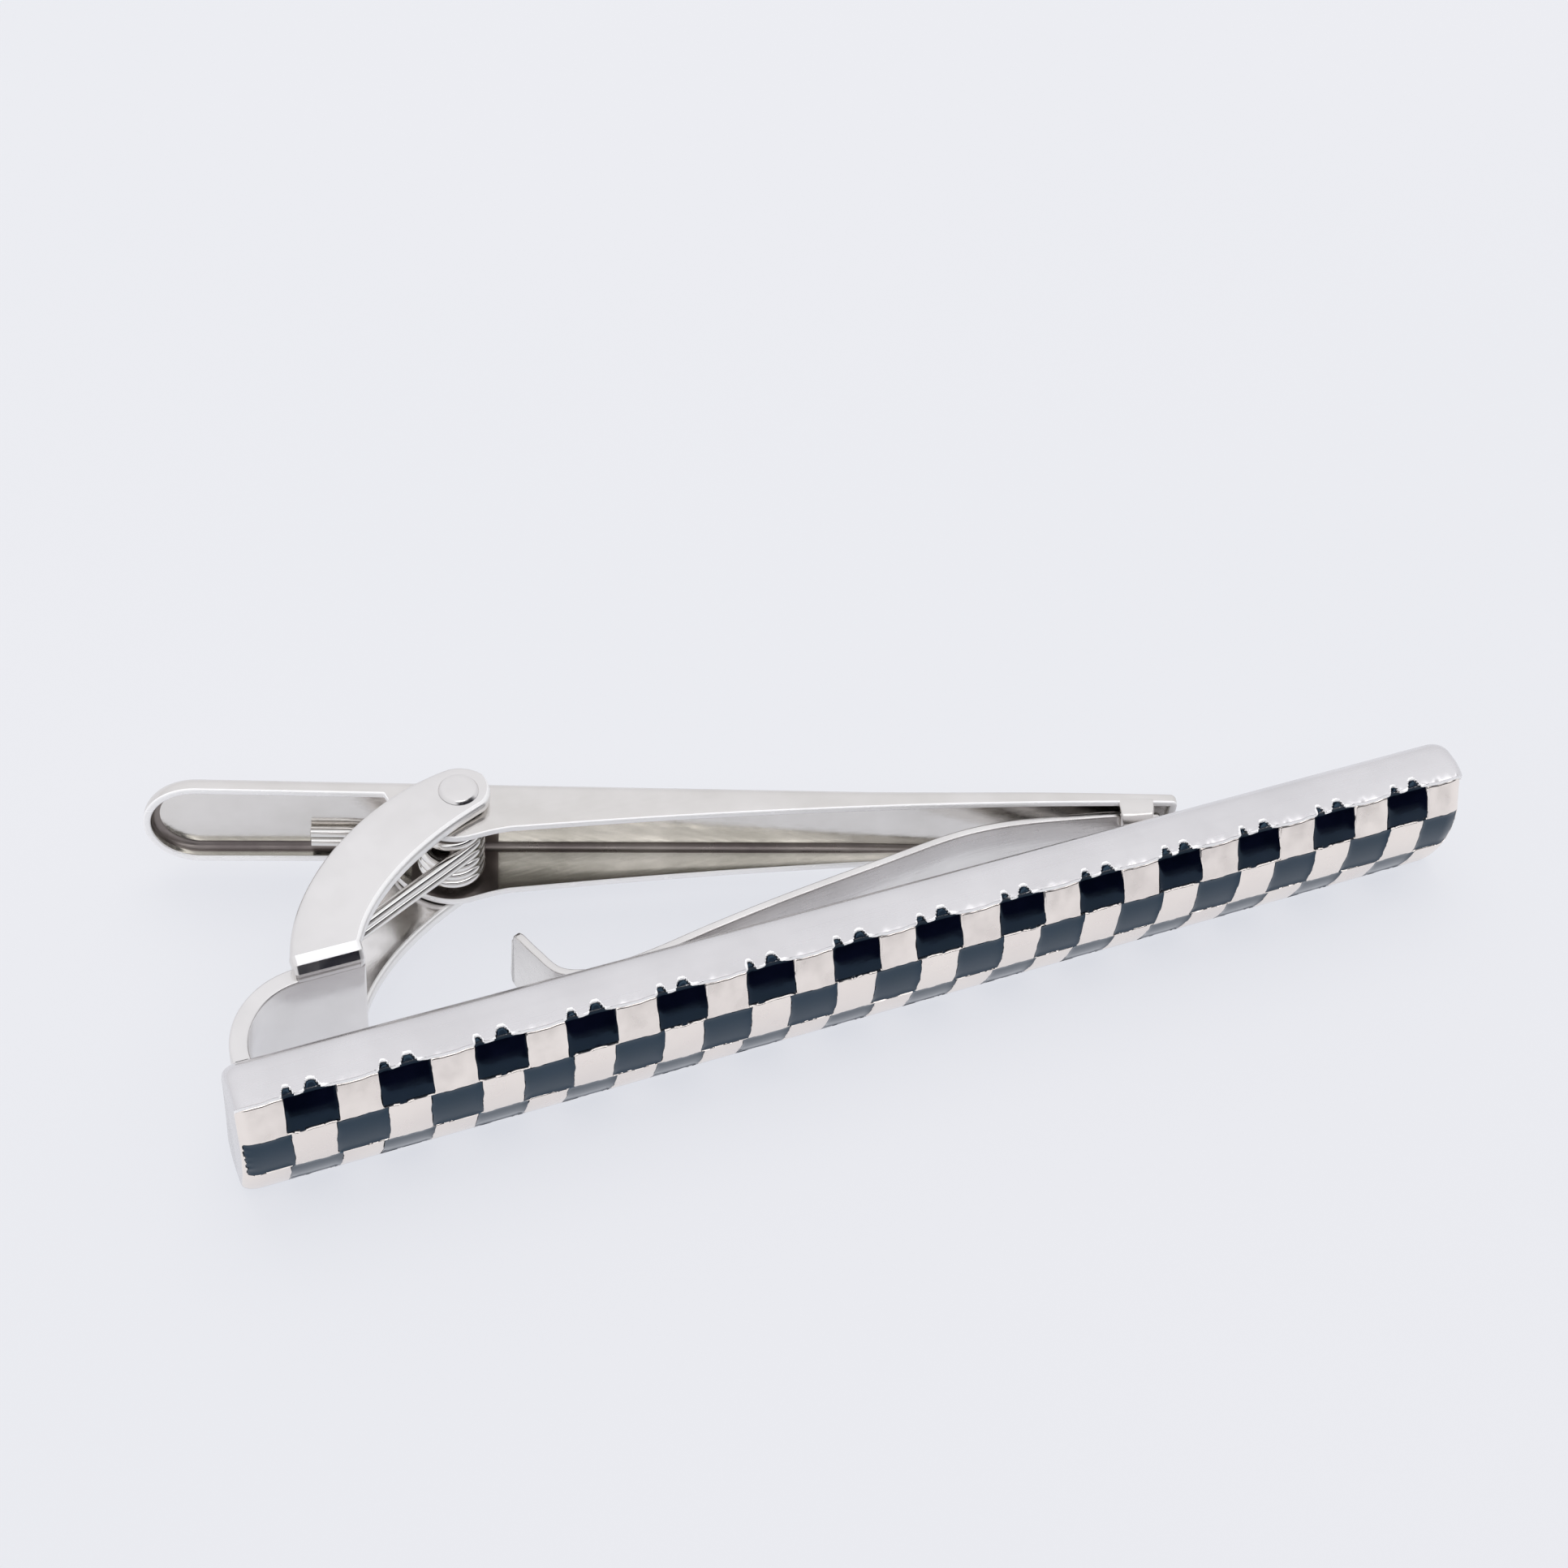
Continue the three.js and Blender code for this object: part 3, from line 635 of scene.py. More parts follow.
def make_bar(cells):
    """The bar, with its ledge, its ridge and a pocket for each cell pressed into one closed skin."""
    x = bar_stations()[:, None]
    y, v = SECTION.T[:, None]
    normal_y, normal_z = SECTION_NORMAL.T[:, None]
    up = SECTION_RUN[None]
    inside = enamel_distance(cells, x, up)
    ridge = ridge_height(up, enamel_distance([cell for cell in cells if cell.row == 1], x, up))
    relief = bar_relief(up, inside, ridge)
    near_ledge = smooth(LEDGE - 1.3, LEDGE - 0.1, up) * (1 - smooth(LEDGE + 0.25, LEDGE + 1.2, up))
    end_y, end_z = end_shift(x, y, v)
    px = np.broadcast_to(x, relief.shape)
    py = y + normal_y * relief + end_y
    pz = MID + v + ledge_lift(x) * near_ledge + normal_z * relief + end_z
    points, faces = loft(np.stack([px, py, pz], axis=2))
    # The ridge gets a whiter copy of the plate as a painted highlight.
    metals = [BAR_METAL, FACE_METAL, HIGHLIGHT_METAL]
    numbers = bar_numbers(up, ridge)
    return piece("bar_body", points, faces, metals, "base", ["front_bar"], "plated_bar", 60, numbers)


def block(top, low):
    """A closed block between two grids of points, each of shape (rows, columns, 3)."""
    rows, columns = top.shape[:2]
    count = rows * columns
    faces = grid_faces(rows, columns) + grid_faces(rows, columns, offset=count)
    rim = list(range(columns))
    rim += [r * columns + columns - 1 for r in range(1, rows)]
    rim += [(rows - 1) * columns + c for c in range(columns - 2, -1, -1)]
    rim += [r * columns for r in range(rows - 2, 0, -1)]
    faces += [(a, b, b + count, a + count) for a, b in zip(rim, rim[1:] + rim[:1])]
    return np.concatenate([top.reshape(-1, 3), low.reshape(-1, 3)]), faces


def enamel_heights(cell, v, inside):
    """The enamel's top: it climbs at the walls, and a top cell's falls back towards the ledge."""
    climb = CLIMB * np.exp(-np.clip(inside, 0, 1) / CLIMB_REACH)
    slope = 0.0
    if cell.row == 1:
        slope = 0.07 * smooth(1.25, 2.1, v) + 0.035 * smooth(1.9, 2.6, v) - 0.075 * smooth(2.8, 3.0, v)
    return np.where(inside < -WALL_SOFT, -ENAMEL_SKIRT, climb - slope - ENAMEL_RECESS)


def make_enamel(cell):
    """A block of enamel that fills its pocket. Its points lie closer together at an outer end."""
    x = np.linspace(cell.left - 0.05, cell.right + 0.05, 40)[:, None]
    share = np.linspace(0, 1, 34)
    if cell.row == 0:
        v = -cell.inner + 2 * cell.inner * share
    else:
        start, end = cell.inner - 0.02, cell.outer + (0.55 if cell.row == 1 else 0.06)
        v = (start + (end - start) * (1 - (1 - share) ** 2)) * cell.row
    v = v[None]
    height = enamel_heights(cell, v, cell.depth_inside(x, v))
    y, z, normal_y, normal_z = on_bar(v)
    end_y, end_z = end_shift(x, y, z)
    y, z = y + end_y, MID + z + end_z
    top = np.stack(np.broadcast_arrays(x, y + normal_y * height, z + normal_z * height), axis=-1)
    low = np.stack(np.broadcast_arrays(x, y - normal_y * ENAMEL_BASE, z - normal_z * ENAMEL_BASE), axis=-1)
    points, faces = block(top, low)
    enamel = TOP_ENAMEL if cell.row == 1 else ENAMEL
    return piece(cell.name + "_fill", points, faces, enamel, "base", [cell.name], "enamel", 60)


# ---- Bracket and rivet ----


def ear_edges(count):
    """The convex and the concave edge of an ear, from the fold to the far point of its round end."""
    start, far, end = 100, 24, -52
    tip_count = 14
    begin = arc(PIVOT, EAR_TIP, start, start, 1)[0]
    finish = arc(PIVOT, EAR_TIP, end, end, 1)[0]
    convex = bezier((FOLD_START, EAR_ROOT), (4.9, 11.12), (9.08, 15.18), begin, count)
    concave = bezier((NECK_END, EAR_ROOT), (8.29, 9.72), (11.15, 11.98), finish, count)
    convex = np.concatenate([convex, arc(PIVOT, EAR_TIP, start, far, tip_count)[1:]])
    concave = np.concatenate([concave, arc(PIVOT, EAR_TIP, end, far, tip_count)[1:]])
    return convex, concave


def fold_curve(share):
    """The outside of a fold, from the wall (0) to the ear (1): how far back and up it has gone. It
    turns over in steps with a groove before them, as sheet does when it is pressed round a block."""
    along = np.linspace(0, 1, 101)
    turns = [(20, 0.08, 0.11), (-20, 0.14, 0.17), (31, 0.22, 0.27), (38, 0.6, 0.65), (15, 0.93, 1)]
    tilt = 6 + sum(degrees * smooth(start, end, along) for degrees, start, end in turns)
    back = np.concatenate([[0], np.cumsum(np.sin(np.radians(tilt[1:])))])
    up = np.concatenate([[0], np.cumsum(np.cos(np.radians(tilt[1:])))])
    return np.interp(share, along, back / back[-1]), np.interp(share, along, up / up[-1])


def channel_surface(x, q, depth):
    """The sheet of fold and ears. q runs round the section from the middle of the wall, and depth
    is 0 on the outside of the sheet and 1 on its inside."""
    wall = BRACKET_HALF - FOLD_RADIUS
    sign, q = np.sign(q), np.abs(q)
    share = np.clip((q - wall) / FOLD_RADIUS, 0, 1)
    turn = share * math.pi / 2
    rest = np.clip(q - BRACKET_HALF, 0, None)
    fold_back, fold_up = fold_curve(share)
    outer_y = WALL_FRONT + FOLD_RADIUS * fold_back + rest
    outer_z = np.minimum(q, wall) + FOLD_RADIUS * fold_up
    inner_wall = BRACKET_HALF - EAR_SHEET - INNER_FOLD
    inner_y = WALL_FRONT + FOLD_RADIUS + rest + INNER_FOLD * (1 - np.cos(turn) - smooth(0, 0.5, rest))
    inner_z = np.minimum(q, wall) * inner_wall / wall + INNER_FOLD * np.sin(turn)
    y = outer_y + (inner_y - outer_y) * depth
    z = outer_z + (inner_z - outer_z) * depth
    return np.stack([x, y, MID + sign * z], axis=-1)


def channel_loop(left, right):
    """One closed loop round the sheet between two points of its outline, given as (x, q)."""
    across = right - left
    width = np.linalg.norm(across)
    edge = min(EAR_EDGE, width * 0.45)
    turns = np.radians(np.linspace(0, 90, 5))[1:]
    outer = [(t, 0.0) for t in np.linspace(edge, width - edge, CHANNEL_STEPS)]
    inner = [(t, 1.0) for t in np.linspace(width - edge, edge, CHANNEL_STEPS)]
    quarter = [(edge * (math.sin(t) - 1), edge / EAR_SHEET * (1 - math.cos(t))) for t in turns]
    rim_right = [(width + a, d) for a, d in quarter] + [(width + a, 1 - d) for a, d in quarter[::-1]]
    rim_left = [(width - a, 1 - d) for a, d in rim_right]
    loop = np.array(outer + rim_right + inner + rim_left)
    flat = left + across / max(width, 1e-6) * loop[:, :1]
    return channel_surface(flat[:, 0], flat[:, 1], loop[:, 1])


def make_channel():
    """The wall, its folds and both ears, with the metal of each face: 1, a lighter copy as painted light, on
    the cut edge towards the bar's right end and 2, a whiter copy as painted highlight, on the crown of the
    folds."""
    wall = BRACKET_HALF - FOLD_RADIUS
    fold = np.concatenate([np.linspace(0, wall, 10), np.linspace(wall, BRACKET_HALF, 34)[1:]])
    sides = []
    for edge, start in zip(ear_edges(40), (FOLD_START, NECK_END)):
        ear = np.stack([edge[:, 0], BRACKET_HALF + edge[:, 1] - WALL_FRONT - FOLD_RADIUS], axis=1)
        upper = np.concatenate([np.stack([np.full(len(fold), start), fold], axis=1), ear[1:-1]])
        sides.append(np.concatenate([(upper * [1, -1])[:0:-1], upper]))
    points, faces = loft([channel_loop(left, right) for left, right in zip(*sides)])
    reach = np.abs(sides[0][1:, 1:] + sides[0][:-1, 1:]) / 2
    share = (reach - wall) / FOLD_RADIUS
    crown = (share > 0.62) & (share < 1)
    column = np.arange(len(points) // len(sides[0]))
    outside = column < CHANNEL_STEPS - 1
    cut = ~outside & (column < 2 * CHANNEL_STEPS - 1)
    return points, faces, np.where(crown & outside, 2, np.where(cut, 1, 0)).ravel()


def make_neck():
    """The curled strip from the bar to the wall, and the foot that it ends in."""
    x, y = NECK_CENTRE
    start, seat = x - NECK_LINE, BACK + SEAT_GAP
    path = np.concatenate([
        [[start, seat], [start, seat + 0.05]],
        arc((x, y), NECK_LINE, 180, 90, 34)[1:],
        np.stack([np.linspace(x + 0.2, NECK_END - 0.01, 8), np.full(8, y + NECK_LINE)], axis=1),
    ])
    foot_path = np.linspace((start, seat + FOOT_SHEET / 2), (start + FOOT_LENGTH, seat + FOOT_SHEET / 2), 8)
    neck = ribbon(path, NECK_SHEET, NECK_HALF, NECK_EDGE, bar_place)
    return neck, ribbon(foot_path, FOOT_SHEET, FOOT_HALF, FOOT_EDGE, bar_place)


def make_bracket():
    """The folded sheet with its ears, joined to the neck and the foot."""
    *channel, channel_numbers = make_channel()
    points, faces = joined(channel, *make_neck())
    numbers = np.concatenate([channel_numbers, np.zeros(len(faces) - len(channel_numbers))])
    # The cut edges get a lighter copy as painted light, and the folds' crowns a whiter one as painted
    # highlight.
    metals = [SHEET_METAL, EDGE_LIGHT_METAL, HIGHLIGHT_METAL]
    return piece("bracket_body", points, faces, metals, "base", ["neck_bracket"], "plated_sheet", 50, numbers)


def make_rivet():
    """A straight shank with two low domed heads."""
    seat, head = BRACKET_HALF + 0.015, HEAD_RADIUS
    crown = [(1e-3, MID), (0.35, MID - 0.004), (0.6, MID - 0.014), (head - 0.13, MID - 0.022)]
    rim = [(head - 0.11, MID - 0.035), (head - 0.02, seat + 0.03), (head, seat)]
    upper = [*crown, *rim, (SHANK_RADIUS, seat - 0.02)]
    turns = np.radians(np.linspace(0, 360, 49)[:-1])
    sections = []
    for radius, height in upper + [(r, -z) for r, z in reversed(upper)]:
        x = PIVOT[0] + radius * np.cos(turns)
        y = PIVOT[1] + radius * np.sin(turns)
        sections.append(bar_place(x, y, height))
    return piece("rivet_body", *loft(sections), SHEET_METAL, "base", ["pivot_rivet"], "plated_sheet", 45)


# ---- Lever ----


def lever_rim(along):
    """How far in front of the pivot's line (negative) or behind it the flanges' rims stand."""
    pieces = [
        np.array([[HANDLE_END - 1, 0.42], [-3.38, 0.42], [-3.22, 0.1]]),
        bezier((-3.2, 0.08), (-2.9, -1.2), (-1.5, -2.2), (-0.2, -2.2), 30),
        bezier((-0.2, -2.2), (0.6, -2.2), (0.9, -1.82), (2.4, -1.5), 24),
        bezier((2.4, -1.5), (7.5, -0.9), (12, -0.35), (20.8, 0.26), 30),
        bezier((20.8, 0.26), (25, 0.52), (29, 0.72), (TIP_END + 1, 0.8), 30),
    ]
    line = np.concatenate(pieces)
    keep = np.concatenate([[True], np.diff(line[:, 0]) > 1e-4])
    return np.interp(along, line[keep, 0], line[keep, 1])


def bend_at(along):
    """The tray's outside bend, which is tighter towards the tip."""
    return TIP_BEND + (BEND - TIP_BEND) * (1 - smooth(18, 30, along))


def lever_outline():
    """Half of the lever's plan: points and outward normals from the middle of the tip to the middle
    of the handle's round end."""
    def half(s):
        return LEVER_HALF - LEVER_TAPER * s

    tip_half = half(TIP_END) - TIP_BEND
    tip = np.stack([np.full(TIP_STEPS, TIP_END), np.linspace(0, tip_half, TIP_STEPS)], axis=1)
    tip_normal = np.tile([1.0, 0.0], (TIP_STEPS, 1))
    corner_centre = np.array([TIP_END - TIP_BEND, tip_half])
    corner = arc(corner_centre, TIP_BEND, 0, 90, CORNER_STEPS + 1)[1:]
    corner_normal = (corner - corner_centre) / TIP_BEND
    radius = half(HANDLE_END + LEVER_HALF)
    centre = HANDLE_END + radius
    stretches = [(TIP_END - TIP_BEND, 4, 70), (4, -3, 60), (-3, -3.6, 14), (-3.6, centre, 16)]
    s = np.concatenate([np.linspace(*stretch)[1:] for stretch in stretches])
    side = np.stack([s, half(s)], axis=1)
    side_normal = np.tile([0.0, 1.0], (len(s), 1))
    end = arc((centre, 0), radius, 90, 180, 26)[1:]
    end_normal = (end - [centre, 0]) / radius
    outline = np.concatenate([tip, corner, side, end])
    return outline, np.concatenate([tip_normal, corner_normal, side_normal, end_normal])


def tray_profile(s):
    """The tray's section at s, from the web's outside over the rim to its inside. Each point is
    (distance in from the outline, distance back)."""
    t, edge = LEVER_SHEET, LEVER_EDGE
    rim, outer_bend = lever_rim(s), bend_at(s)
    inner_bend = max(outer_bend - t, 0.02)
    bend = LEVER_BACK - outer_bend
    floor = LEVER_BACK - t - inner_bend
    turns = np.radians(np.linspace(90, 0, BEND_STEPS))
    rim_turns = np.radians(np.linspace(0, 90, RIM_STEPS))
    profile = [(outer_bend * (1 - math.cos(a)), bend + outer_bend * math.sin(a)) for a in turns]
    profile += [(0.0, bend - 0.02 + (rim + edge - bend + 0.02) * k) for k in (0.33, 0.66)]
    profile += [(edge * (1 - math.cos(a)), rim + edge * (1 - math.sin(a))) for a in rim_turns]
    profile += [(t - edge * (1 - math.sin(a)), rim + edge * (1 - math.cos(a))) for a in rim_turns]
    profile += [(t, rim + edge + (bend - rim - edge) * k) for k in (0.33, 0.66)]
    inside = [(t + inner_bend * (1 - math.cos(a)), floor + inner_bend * math.sin(a)) for a in turns[::-1]]
    return np.array(profile + inside)


def under_coil(s):
    """True on the stretch of the tray that the coil shades."""
    return (s > COIL_ZONE[0]) & (s < COIL_ZONE[1])


def tray_numbers(outline, columns):
    """The metal of each face of a wall: 1 on its rim, a whiter copy as painted highlight; 3 on its inside, a
    darker copy as painted shade; and 2, darker still as painted shade, on the inner bend and where the coil
    shades the inside.
    """
    rim_start = BEND_STEPS + 2
    rim_end = rim_start + 2 * RIM_STEPS - 1
    floor_start = rim_end + 3
    column = np.arange(columns - 1)[None]
    inside = column >= rim_end
    shade_faces = (column >= floor_start) | (inside & under_coil(outline[:-1, :1]))
    plain = np.where(column >= rim_start, 1, 0)
    return np.where(shade_faces, 2, np.where(inside, 3, plain)).ravel()


def make_lever_tray():
    """The tray as points, faces and the metal of each face. Each half is a wall and the two skins
    of the web, and the other half is its mirror image."""
    outline, normals = lever_outline()
    walls = []
    for (s, z), (ns, nz) in zip(outline, normals):
        profile = tray_profile(s)
        walls.append(np.stack([s - ns * profile[:, 0], profile[:, 1], z - nz * profile[:, 0]], axis=1))
    walls = np.array(walls)
    rows, columns = walls.shape[:2]
    parts = [(walls.reshape(-1, 3), grid_faces(rows, columns))]
    numbers = [tray_numbers(outline, columns)]
    share = np.linspace(0, 1, TIP_STEPS)
    for k in (0, columns - 1):
        rim_line = walls[TIP_STEPS - 1 + CORNER_STEPS :, k]
        web = np.array([[[s, n, z * m] for m in share] for s, n, z in rim_line])
        parts.append((web.reshape(-1, 3), grid_faces(len(rim_line), TIP_STEPS)))
        # Painted shade on the web's inner skin where the coil shades it.
        shade_faces = under_coil(rim_line[:-1, 0]) & (k > 0)
        numbers.append(np.repeat(np.where(shade_faces, 2, 0), TIP_STEPS - 1))
    points, faces = joined(*parts)
    points, faces = joined((points, faces), (points * [1, 1, -1], [face[::-1] for face in faces]))
    return lever_place(*points.T), faces, np.tile(np.concatenate(numbers), 2)


def crimp_tab(side):
    """A tab that stands on a flange near the tip and is folded over the root of the leaf."""
    half = LEVER_HALF - LEVER_TAPER * 32 - LEVER_SHEET / 2 + 0.03
    front = 0.02
    turned = arc((half - TAB_RADIUS, front + TAB_RADIUS), TAB_RADIUS, 0, -90, 12)
    start, end = (half - 0.66, front), (half - TAB_REACH, 0.32)
    flat = bezier(start, (half - 0.85, front), (half - 1.05, front + 0.1), end, 7)
    path = np.concatenate([[[half, 1.0], [half, 0.8]], turned, flat])
    wide = np.linspace(0.86, 0.66, len(path))

    def place(z, n, along):
        return lever_place(TAB_PLACE + along, n, side * z)

    return ribbon(path, LEVER_SHEET * 0.95, wide, 0.12, place)


def make_lever():
    """The folded tray and the two tabs at its tip."""
    *tray, numbers = make_lever_tray()
    points, faces = joined(tray, crimp_tab(1), crimp_tab(-1))
    numbers = np.concatenate([numbers, np.zeros(len(faces) - len(numbers))])
    # Rims get a whiter copy as painted highlight; the flanges' inside, inner bends and the stretch under the
    # coil get darker copies as painted shade.
    metals = [LEVER_METAL, HIGHLIGHT_METAL, SHADE_METAL, INNER_SHADE_METAL]
    body = "lever_body"
    return piece("lever_body_shell", points, faces, metals, body, ["lever"], "lever_sheet", 50, numbers)


# ---- Leaf ----


def catmull_rom(points, per_span):
    """Centripetal curve through the points."""
    points = np.asarray(points, float)
    ends = np.concatenate([[2 * points[0] - points[1]], points, [2 * points[-1] - points[-2]]])
    curve = []
    for a, b, c, d in zip(ends, ends[1:], ends[2:], ends[3:]):
        t0 = 0.0
        t1 = t0 + np.linalg.norm(b - a) ** 0.5
        t2 = t1 + np.linalg.norm(c - b) ** 0.5
        t3 = t2 + np.linalg.norm(d - c) ** 0.5
        t = np.linspace(t1, t2, per_span, endpoint=False)[:, None]
        a1 = (t1 - t) / (t1 - t0) * a + (t - t0) / (t1 - t0) * b
        a2 = (t2 - t) / (t2 - t1) * b + (t - t1) / (t2 - t1) * c
        a3 = (t3 - t) / (t3 - t2) * c + (t - t2) / (t3 - t2) * d
        b1 = (t2 - t) / (t2 - t0) * a1 + (t - t0) / (t2 - t0) * a2
        b2 = (t3 - t) / (t3 - t1) * a2 + (t - t1) / (t3 - t1) * a3
        curve.append((t2 - t) / (t2 - t1) * b1 + (t - t1) / (t2 - t1) * b2)
    return np.concatenate([*curve, points[-1:]])


def make_leaf():
    """The bowed strip, from the hook at its free end to the T-shaped end under the lever's tabs."""
    line = [
        (14.17, 7.05), (14.73, 5.52), (15.35, 4.3), (16.6, 3.8), (18.9, 3.87), (22.8, 4.5),
        (26.2, 4.98), (31.3, 5.53), (36.2, 6.0), (39.2, 5.85), (42.1, 5.37), (43.53, 5.04),
        (45.51, 4.36),
    ]
    path = catmull_rom(line, 9)
    run = np.concatenate([[0], np.cumsum(np.linalg.norm(np.diff(path, axis=0), axis=1))])
    short = np.clip(LEAF_CORNER - run, 0, LEAF_CORNER)
    width = LEAF_HALF - (LEAF_CORNER - np.sqrt(LEAF_CORNER**2 - short**2))
    width = width - (LEAF_HALF - LEAF_ROOT_HALF) * smooth(34, 43, path[:, 0])
    waist = smooth(44.1, 44.35, path[:, 0]) * (1 - smooth(44.75, 45.0, path[:, 0]))
    width = width - LEAF_WAIST * waist
    points, faces = ribbon(path, LEAF_SHEET, width, LEAF_EDGE, bar_place)
    return piece("leaf_strip", points, faces, LEAF_METAL, "leaf_body", ["clamp_leaf"], "leaf_steel", 50)


# ---- Spring ----


def half_wire(side, turns):
    """Centre line of one half of the spring: web leg, coil and wall leg, and the nose it ends in."""
    web_side = math.pi / 2 + LEVER_ANGLE
    wall_side = WALL_LEG_ANGLE - math.pi / 2
    turn = web_side - wall_side + turns * 2 * math.pi
    beside = side * COIL_PITCH / 2
    web, wall = WEB_LEG + beside * WEB_LEG_SPREAD, WALL_LEG + beside
    coil = wall + side * COIL_PITCH * turn / (2 * math.pi)
    centre = PIVOT + COIL_CENTRE

    def at(angle, height):
        x = centre[0] + COIL_RADIUS * math.cos(angle)
        y = centre[1] + COIL_RADIUS * math.sin(angle)
        return np.array([x, y, MID + height])

    lever_way = np.array([math.cos(LEVER_ANGLE), math.sin(LEVER_ANGLE), 0])
    wall_leg = -WALL_LEG_LENGTH * np.array([math.cos(WALL_LEG_ANGLE), math.sin(WALL_LEG_ANGLE), 0])
    legs = [(-6.5, web), (-4.8, web), (-3.2, web), (-2.3, (web + coil) / 2), (-1.4, coil), (-0.5, coil)]
    line = [at(web_side, height) + lever_way * along for along, height in legs]
    for share in np.linspace(0, 1, round(turn / (2 * math.pi) * COIL_STEPS) + 1):
        line.append(at(web_side - turn * share, coil + (wall - coil) * share))
    line += [at(wall_side, wall) + wall_leg * share for share in (0.35, 0.7, 0.93)]
    line.append(at(wall_side, WALL_LEG + side * WIRE * 1.3) + wall_leg * 0.985)
    return line, at(wall_side, WALL_LEG) + wall_leg


def wire_tube(line):
    """A round wire along a line, with its ends eased over."""
    tangent = np.gradient(line, axis=0)
    tangent /= np.linalg.norm(tangent, axis=1)[:, None]
    side = np.cross(tangent[0], [0.0, 0.0, 1.0])
    turns = np.radians(np.linspace(0, 360, 17)[:-1])
    last = len(line) - 1
    start = [(0, share) for share in (0.3, 0.8, 1.0)]
    end = [(last, share) for _, share in start[::-1]]
    sections = []
    for i, share in [*start, *((i, 1.0) for i in range(1, last)), *end]:
        side = side - tangent[i] * np.dot(side, tangent[i])
        side /= np.linalg.norm(side)
        other = np.cross(tangent[i], side)
        push = tangent[i] * (1 - share) * WIRE * 0.3 * (-1 if i == 0 else 1)
        ring = np.cos(turns)[:, None] * side + np.sin(turns)[:, None] * other
        sections.append(line[i] + push + WIRE * share * ring)
    return loft(sections)


def make_spring():
    """The spring's wire. It bends from the base to the lever across the coil."""
    upper, nose = half_wire(1, TURNS_ABOVE)
    lower, _ = half_wire(-1, TURNS_BELOW)
    tube = wire_tube(catmull_rom(np.array([*upper, nose, *lower[::-1]]), 4))
    item = piece("spring_wire_body", *tube, WIRE_METAL, None, ["torsion_spring"], "spring_wire", 60)
    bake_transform(item)
    return item


# ---- Stage ----


def make_camera():
    """Above and in front of the bar's left end, looking down along it."""
    place = ORIGIN + MM * np.array([-11.191, -63.545, 98.87])
    yaw, pitch, roll = 0.492, 0.834, 0.133
    ahead = Vector((math.sin(yaw) * math.cos(pitch), math.cos(yaw) * math.cos(pitch), -math.sin(pitch)))
    right = Vector((math.cos(yaw), -math.sin(yaw), 0))
    up = right.cross(ahead)
    across = math.cos(roll) * right + math.sin(roll) * up
    upward = -math.sin(roll) * right + math.cos(roll) * up
    turn = Matrix((across, upward, -ahead)).transposed()
    data = bpy.data.cameras.new("camera")
    data.sensor_width = 36
    data.lens = 61.77
    data.clip_start = 0.001
    data.clip_end = 10
    camera = bpy.data.objects.new("camera", data)
    camera.matrix_world = Matrix.Translation(place) @ turn.to_4x4()
    bpy.context.collection.objects.link(camera)
    bpy.context.scene.camera = camera


def area_light(name, place, size, power, colour):
    """A rectangular light, turned to the object, that reflections don't show."""
    data = bpy.data.lights.new(name, "AREA")
    data.shape = "RECTANGLE"
    data.size, data.size_y = size
    data.energy = power
    data.color = colour
    light = bpy.data.objects.new(name, data)
    light.location = place
    light.visible_glossy = False
    light.rotation_euler = (-Vector(place)).to_track_quat("-Z", "Y").to_euler()
    bpy.context.collection.objects.link(light)


def soft_step(tree, value, start, end):
    """A smooth step of a socket's value, from 0 at start to 1 at end."""
    node = tree.nodes.new("ShaderNodeMapRange")
    node.interpolation_type = "SMOOTHSTEP"
    node.inputs["From Min"].default_value = start
    node.inputs["From Max"].default_value = end
    tree.links.new(value, node.inputs["Value"])
    return node.outputs["Result"]


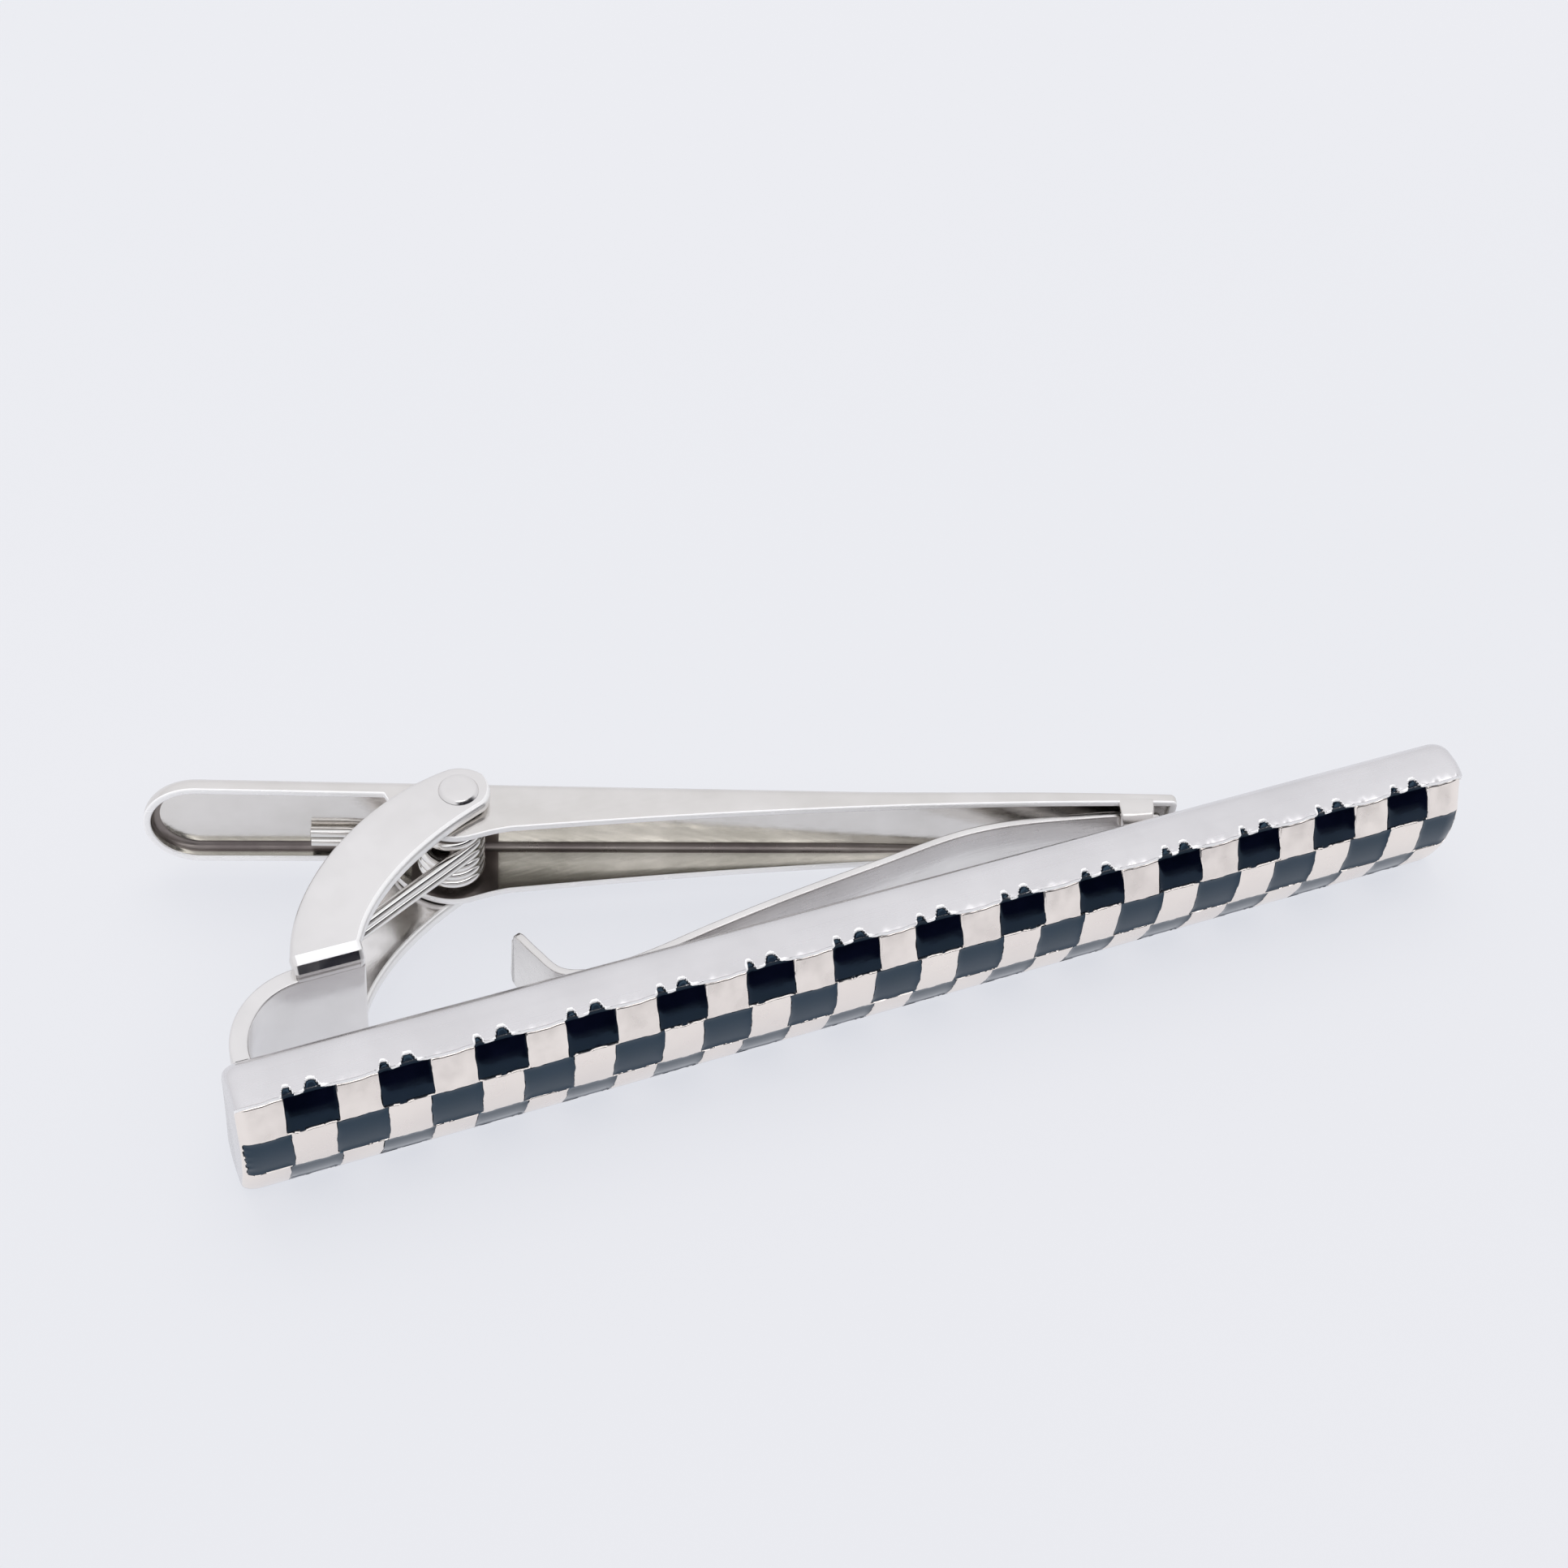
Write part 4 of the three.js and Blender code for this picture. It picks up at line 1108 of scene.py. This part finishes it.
def make_world():
    """A white studio. Low in front, where the viewer stands, it has a dark patch with a bright strip
    above it."""
    world = bpy.data.worlds.new("studio")
    world.use_nodes = True
    bpy.context.scene.world = world
    bpy.context.scene.view_settings.view_transform = "Standard"
    tree = world.node_tree
    coords = tree.nodes.new("ShaderNodeTexCoord")
    split = tree.nodes.new("ShaderNodeSeparateXYZ")
    tree.links.new(coords.outputs["Generated"], split.inputs["Vector"])
    height = split.outputs["Z"]
    dark, warm, strip = (0.012, 0.012, 0.02), (0.3, 0.27, 0.25), (2.6, 2.6, 2.65)
    low, white, top = (0.8, 0.8, 0.83), (0.87, 0.875, 0.91), (0.96, 0.965, 1.0)
    patch = [(0, warm), (0.05, dark), (0.6, dark), (0.65, strip), (0.71, strip)]
    back = colour_ramp(tree, height, [(0.0, low), (0.3, white), (0.96, top)])
    front = colour_ramp(tree, height, [*patch, (0.76, white), (0.96, top)])
    both = tree.nodes.new("ShaderNodeMath")
    both.operation = "MULTIPLY"
    tree.links.new(soft_step(tree, split.outputs["Y"], -0.15, -0.6), both.inputs[0])
    tree.links.new(soft_step(tree, split.outputs["X"], -0.55, -0.15), both.inputs[1])
    mix = tree.nodes.new("ShaderNodeMix")
    mix.data_type = "RGBA"
    tree.links.new(both.outputs["Value"], mix.inputs["Factor"])
    tree.links.new(back, mix.inputs["A"])
    tree.links.new(front, mix.inputs["B"])
    tree.links.new(mix.outputs["Result"], tree.nodes["Background"].inputs["Color"])
    tree.nodes["Background"].inputs["Strength"].default_value = 1.0


def make_floor():
    """The table that the clip lies on."""
    size = 0.6
    corners = [(-size, -size, 0), (size, -size, 0), (size, size, 0), (-size, size, 0)]
    mesh = bpy.data.meshes.new("floor")
    mesh.from_pydata(corners, [], [(0, 1, 2, 3)])
    mesh.materials.append(floor_material())
    floor = bpy.data.objects.new("floor", mesh)
    bpy.context.collection.objects.link(floor)


make_camera()
make_world()
make_floor()
area_light("overhead", (0.03, 0.16, 0.32), (0.30, 0.22), 0.35, (1.0, 0.985, 0.97))
area_light("left_fill", (-0.32, -0.02, 0.18), (0.2, 0.2), 0.08, (0.96, 0.98, 1.0))

CELLS = make_cells()
make_bar(CELLS)
for enamel_cell in CELLS:
    make_enamel(enamel_cell)
make_bracket()
make_rivet()
make_lever()
make_leaf()
make_spring()
